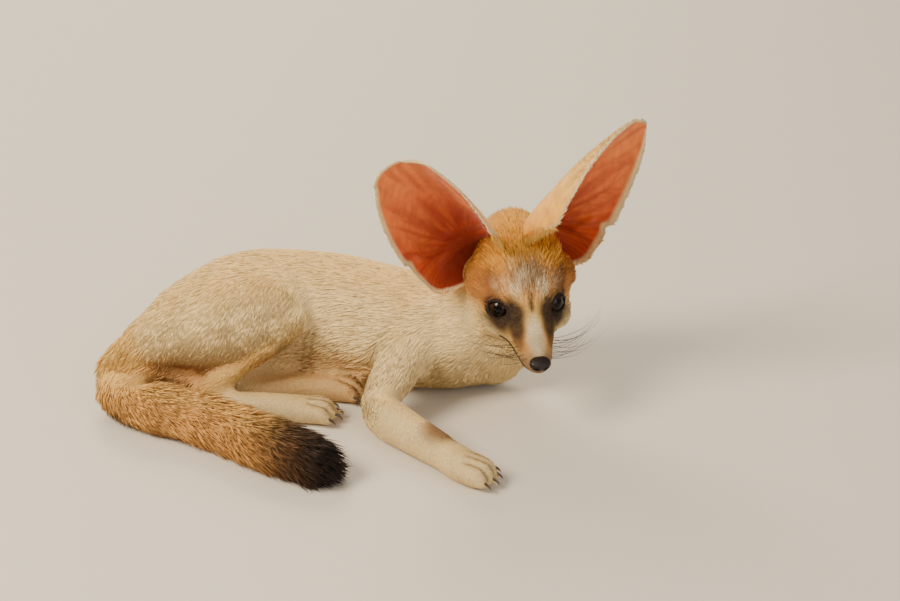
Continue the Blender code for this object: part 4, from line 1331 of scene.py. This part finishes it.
def make_lids():
    """Dark wet rims of the lids: a slim roll round each opening, thicker above and drawn out at
    the inner corner, laid on the ball."""
    pieces = []
    rows, columns = 96, 12
    turn = full_turn(rows)
    for side in (-1, 1):
        centre, look, corner, upward = eye_frame(side)
        share = np.cos(turn)
        x = EYE_OPENING[0] * share * 1.02
        y = opening_height(share, np.sin(turn) > 0) * np.sign(np.sin(turn)) * 1.04
        reach = np.sqrt((EYE_RADIUS + 0.75) ** 2 - x**2 - y**2)
        line = look * reach[:, None] + corner * x[:, None] + upward * y[:, None]
        along = unit(np.roll(line, -1, axis=0) - np.roll(line, 1, axis=0))
        out = unit(line)
        wide = np.where(np.sin(turn) > 0, 0.85, 0.65) + 0.25 * np.exp(-((share + side) ** 2) / 0.02)
        spin = full_turn(columns)
        ring = (out[:, None] * np.cos(spin)[None, :, None] * 0.6
                + np.cross(along, out)[:, None] * np.sin(spin)[None, :, None]) * wide[:, None, None]
        points = (centre + line[:, None] + ring).reshape(-1, 3)
        pieces.append((on_head(points), grid_triangles(rows, columns, ends_meet=True)))
    points, triangles = joined(*pieces)
    tint = np.tile(LID_TINT, (len(points), 1))
    finished(make_mesh("eyelids", points, triangles, tint), "lid")


def make_nose():
    """Nose pad: an ellipsoid seen as rings round its forward pole, flattened above, with a comma of
    a nostril sunk on each side and a groove down the middle, both painted near-black as painted
    shade in these hollows."""
    rows, columns = 90, 120
    tilt, turn = ball_angles(rows, columns)
    wide = np.sin(tilt)
    a, b, c = np.broadcast_arrays(np.cos(tilt), wide * np.cos(turn), wide * np.sin(turn))
    side = np.abs(b)
    front = step(-0.2, 0.5, a)
    hole = 1 - step(0.5, 1.0, np.hypot((side - 0.46) / 0.30, (c + 0.10) / 0.34))
    aside = side - 0.76
    tail = 1 - step(0.5, 1.0, np.hypot(aside / 0.26, (c + 0.30 - 0.25 * aside) / 0.11))
    pit = np.maximum(hole, 0.8 * tail) * front
    groove = bell(b, 0.05) * step(0.35, -0.1, c) * front
    wing = np.exp(-((side - 0.52) ** 2 + (c - 0.2) ** 2) / 0.03)
    scale = 1.0 + 0.05 * wing * front - 0.06 * groove
    flattened = c * scale * (1 - 0.24 * step(0.1, 1.0, c))
    shape = np.stack([a * (scale - 0.5 * pit), b * scale, flattened], axis=-1)
    points, triangles = capped(shape * np.array(NOSE_SIZE) + np.array(NOSE_CENTRE), rows, columns)
    # Nostrils and groove painted near-black: painted shade in the hollows
    tint = mix(NOSE_TINT, NOSTRIL_SHADOW_TINT, np.maximum(pit, 0.6 * groove).reshape(-1))
    pad = make_mesh("nose_pad", on_head(points), triangles, with_ends(tint))
    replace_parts(finished(pad, "nose"), "nose")


def mouth_line(a):
    """Height of the closed mouth along the muzzle, as the solids have it."""
    return -14.0 - 1.6 * np.sin(math.pi * np.clip((a - 8) / 34, 0, 1)) + 0.02 * (30 - a)


def muzzle_side(face, a, c, side):
    """Distance of the skin from the middle of the muzzle at places along and up it, from the
    skin's own points near each place."""
    own = face[face[:, 1] * side > 0]
    away = np.hypot(own[:, 0][None] - a[:, None], own[:, 2][None] - c[:, None])
    weight = bell(away, 1.2) * (own[:, 1] * side > 2)[None] + 1e-12
    return (weight * np.abs(own[:, 1])).sum(1) / weight.sum(1)


def make_lips(face, count=26):
    """Dark edges of the lips: two slim rolls along each side of the mouth's line."""
    pieces = []
    for side in (-1, 1):
        a = np.linspace(*MOUTH_SPAN, count)
        for rise, wide in LIPS:
            height = mouth_line(a) + rise
            reach = muzzle_side(face, a, height, side) + 0.25
            reach[-len(LIP_END):] *= LIP_END
            size = wide * np.linspace(0.5, 1.0, count)
            rows = np.stack([a, side * reach, height, size, size], axis=1)
            pieces.append(tube(rows, 8, 2 * count))
    points, triangles = joined(*pieces)
    tint = np.tile(LIP_TINT, (len(points), 1))
    finished(make_mesh("lips", on_head(points), triangles, tint), "lid")


def hair_line(root, start, end, length, wide, count=16):
    """A long curved hair: it leaves its root one way and bends over to another, and tapers."""
    share = np.linspace(0, 1, count)[:, None]
    line = root + length * (unit(start) * share + (unit(end) - unit(start)) * share**2 / 2)
    size = wide * (1 - 0.85 * share)
    return tube(np.concatenate([line, size, size], axis=1), 5, count, lift=(0.3, 0.2, 1))


def make_whiskers(face, rng):
    """Whiskers in rows on the sides of the muzzle, and a few long hairs over the eyes."""
    pieces = []
    for side in (-1, 1):
        for row, height in enumerate(WHISKER_HEIGHTS):
            for k in range(5):
                a = np.array([36.0 - 3.2 * k - row])
                c = np.array([height + 0.25 * k])
                root = np.array([a[0], side * (muzzle_side(face, a, c, side)[0] - 0.4), c[0]])
                start = np.array([0.2, side * 1.0, 0.15 - 0.12 * row]) + rng.normal(0, 0.12, 3)
                end = np.array([-1.0 - 0.1 * k, side * 0.8, 0.4 - 0.2 * row])
                end = end + rng.normal(0, 0.25, 3)
                pieces.append(hair_line(root, start, end, rng.uniform(34, 54) - 4 * (4 - k), 0.17))
        for k in range(3):
            root = np.array([1.5 - 2 * k, side * (13.0 + 1.5 * k), 8.0])
            start = np.array([0.5, side * 0.4, 0.9]) + rng.normal(0, 0.1, 3)
            end = (-0.7, side * 0.7, 0.8)
            pieces.append(hair_line(root, start, end, rng.uniform(14, 20), 0.12))
    points, triangles = joined(*pieces)
    finished(make_mesh("whiskers", on_head(points), triangles), "whisker")


def make_claws():
    """Claws: curved tapering horn from the end of each toe."""
    pieces = []
    for tip, heading, across, size in (paw_frame(*paw) for paw in PAWS.values()):
        for share in np.linspace(-1, 1, 4):
            way = unit(heading + across * share * 0.18)
            root = tip + across * share * size * 0.56 - heading * size * (0.25 + 0.25 * share**2)
            rows = [(*(root + way * size * reach + (0, 0, size * drop)), wide, wide * 1.25)
                    for reach, drop, wide in CLAW]
            pieces.append(tube(rows, 10, 16))
    points, triangles = joined(*pieces)
    points[:, 2] = np.maximum(points[:, 2], 0.3)
    finished(make_mesh("claws", points, triangles), "claw")


def make_floor():
    """Plain pale floor."""
    mesh = bpy.data.meshes.new("floor")
    corners = [(x * FLOOR_SIZE, y * FLOOR_SIZE, 0) for x, y in ((-1, -1), (1, -1), (1, 1), (-1, 1))]
    mesh.from_pydata(corners, [], [(0, 1, 2, 3)])
    floor = add_object("floor", mesh)
    made = Finish("pale_floor", Base_Color=tuple(FLOOR_TINT), Roughness=0.85)
    floor.data.materials.append(made.material)


def make_camera():
    """Camera at the photograph's angle, framed on the layout."""
    away = np.array([0, -math.cos(CAMERA_TILT), math.sin(CAMERA_TILT)])
    place = np.array(CAMERA_TARGET) + SHIFT + CAMERA_DISTANCE * away
    data = bpy.data.cameras.new("camera")
    data.sensor_width = SENSOR_WIDTH
    data.lens = FOCAL_PIXELS / PHOTO_WIDTH * SENSOR_WIDTH
    data.clip_start, data.clip_end = 0.05, 50
    camera = add_object("camera", data)
    camera.location = place * MM
    camera.rotation_euler = (math.pi / 2 - CAMERA_TILT, 0, 0)
    bpy.context.scene.camera = camera


def make_light():
    """Warm soft key from the upper left, with a broad pale fill and a rim light from behind."""
    for name, (place, size, power, colour) in LIGHTS.items():
        data = bpy.data.lights.new(name, "AREA")
        data.shape = "SQUARE"
        data.size = size
        data.energy = power
        data.color = colour
        light = add_object(name, data)
        light.location = place
        away = np.array(place, float) - np.array(LIGHT_TARGET, float)
        light.rotation_euler = (math.acos(away[2] / np.linalg.norm(away)), 0,
                                math.atan2(away[1], away[0]) + math.pi / 2)
    world = bpy.data.worlds.new("studio")
    world.use_nodes = True
    sky = world.node_tree.nodes["Background"].inputs
    sky["Color"].default_value = (1.0, 0.95, 0.88, 1)
    sky["Strength"].default_value = 0.42
    bpy.context.scene.world = world


materials = {
    "coat": coat_finish(),
    "skin": skin_finish(),
    "ear": ear_finish(),
    "eye": eye_finish(),
    "nose": leather_finish("nose_leather", 1500.0, 0.0004, 0.3, 0.15),
    "lid": leather_finish("lid_leather", 2600.0, 0.0001, 0.6, 0.0),
    "claw": horn_finish(),
    "whisker": whisker_finish(),
}


def main():
    """Builds the fox piece by piece, then the floor, the light and the camera."""
    points, triangles = make_skin()
    normals = point_normals(points, triangles)
    tint = markings(points, normals, stretch_weights(points))
    skin = make_mesh("skin", points, triangles, tint * 0.8)
    corner_places = unwrap(skin)
    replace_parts(finished(skin, "skin"), *FLESH)
    make_coat(points, triangles, normals, corner_places)
    rng = np.random.default_rng(SEED)
    for name in EARS:
        make_ear(name, rng)
        for part in EAR_HAIR:
            ear_hair(name, part, rng)
    make_eye("eye_right", -1)
    make_eye("eye_left", 1)
    make_lids()
    make_nose()
    face = to_head(points)
    face = face[((face > MUZZLE_LOW) & (face < MUZZLE_HIGH)).all(axis=1)]
    make_lips(face)
    make_whiskers(face, rng)
    make_claws()
    make_floor()
    make_light()
    make_camera()


main()
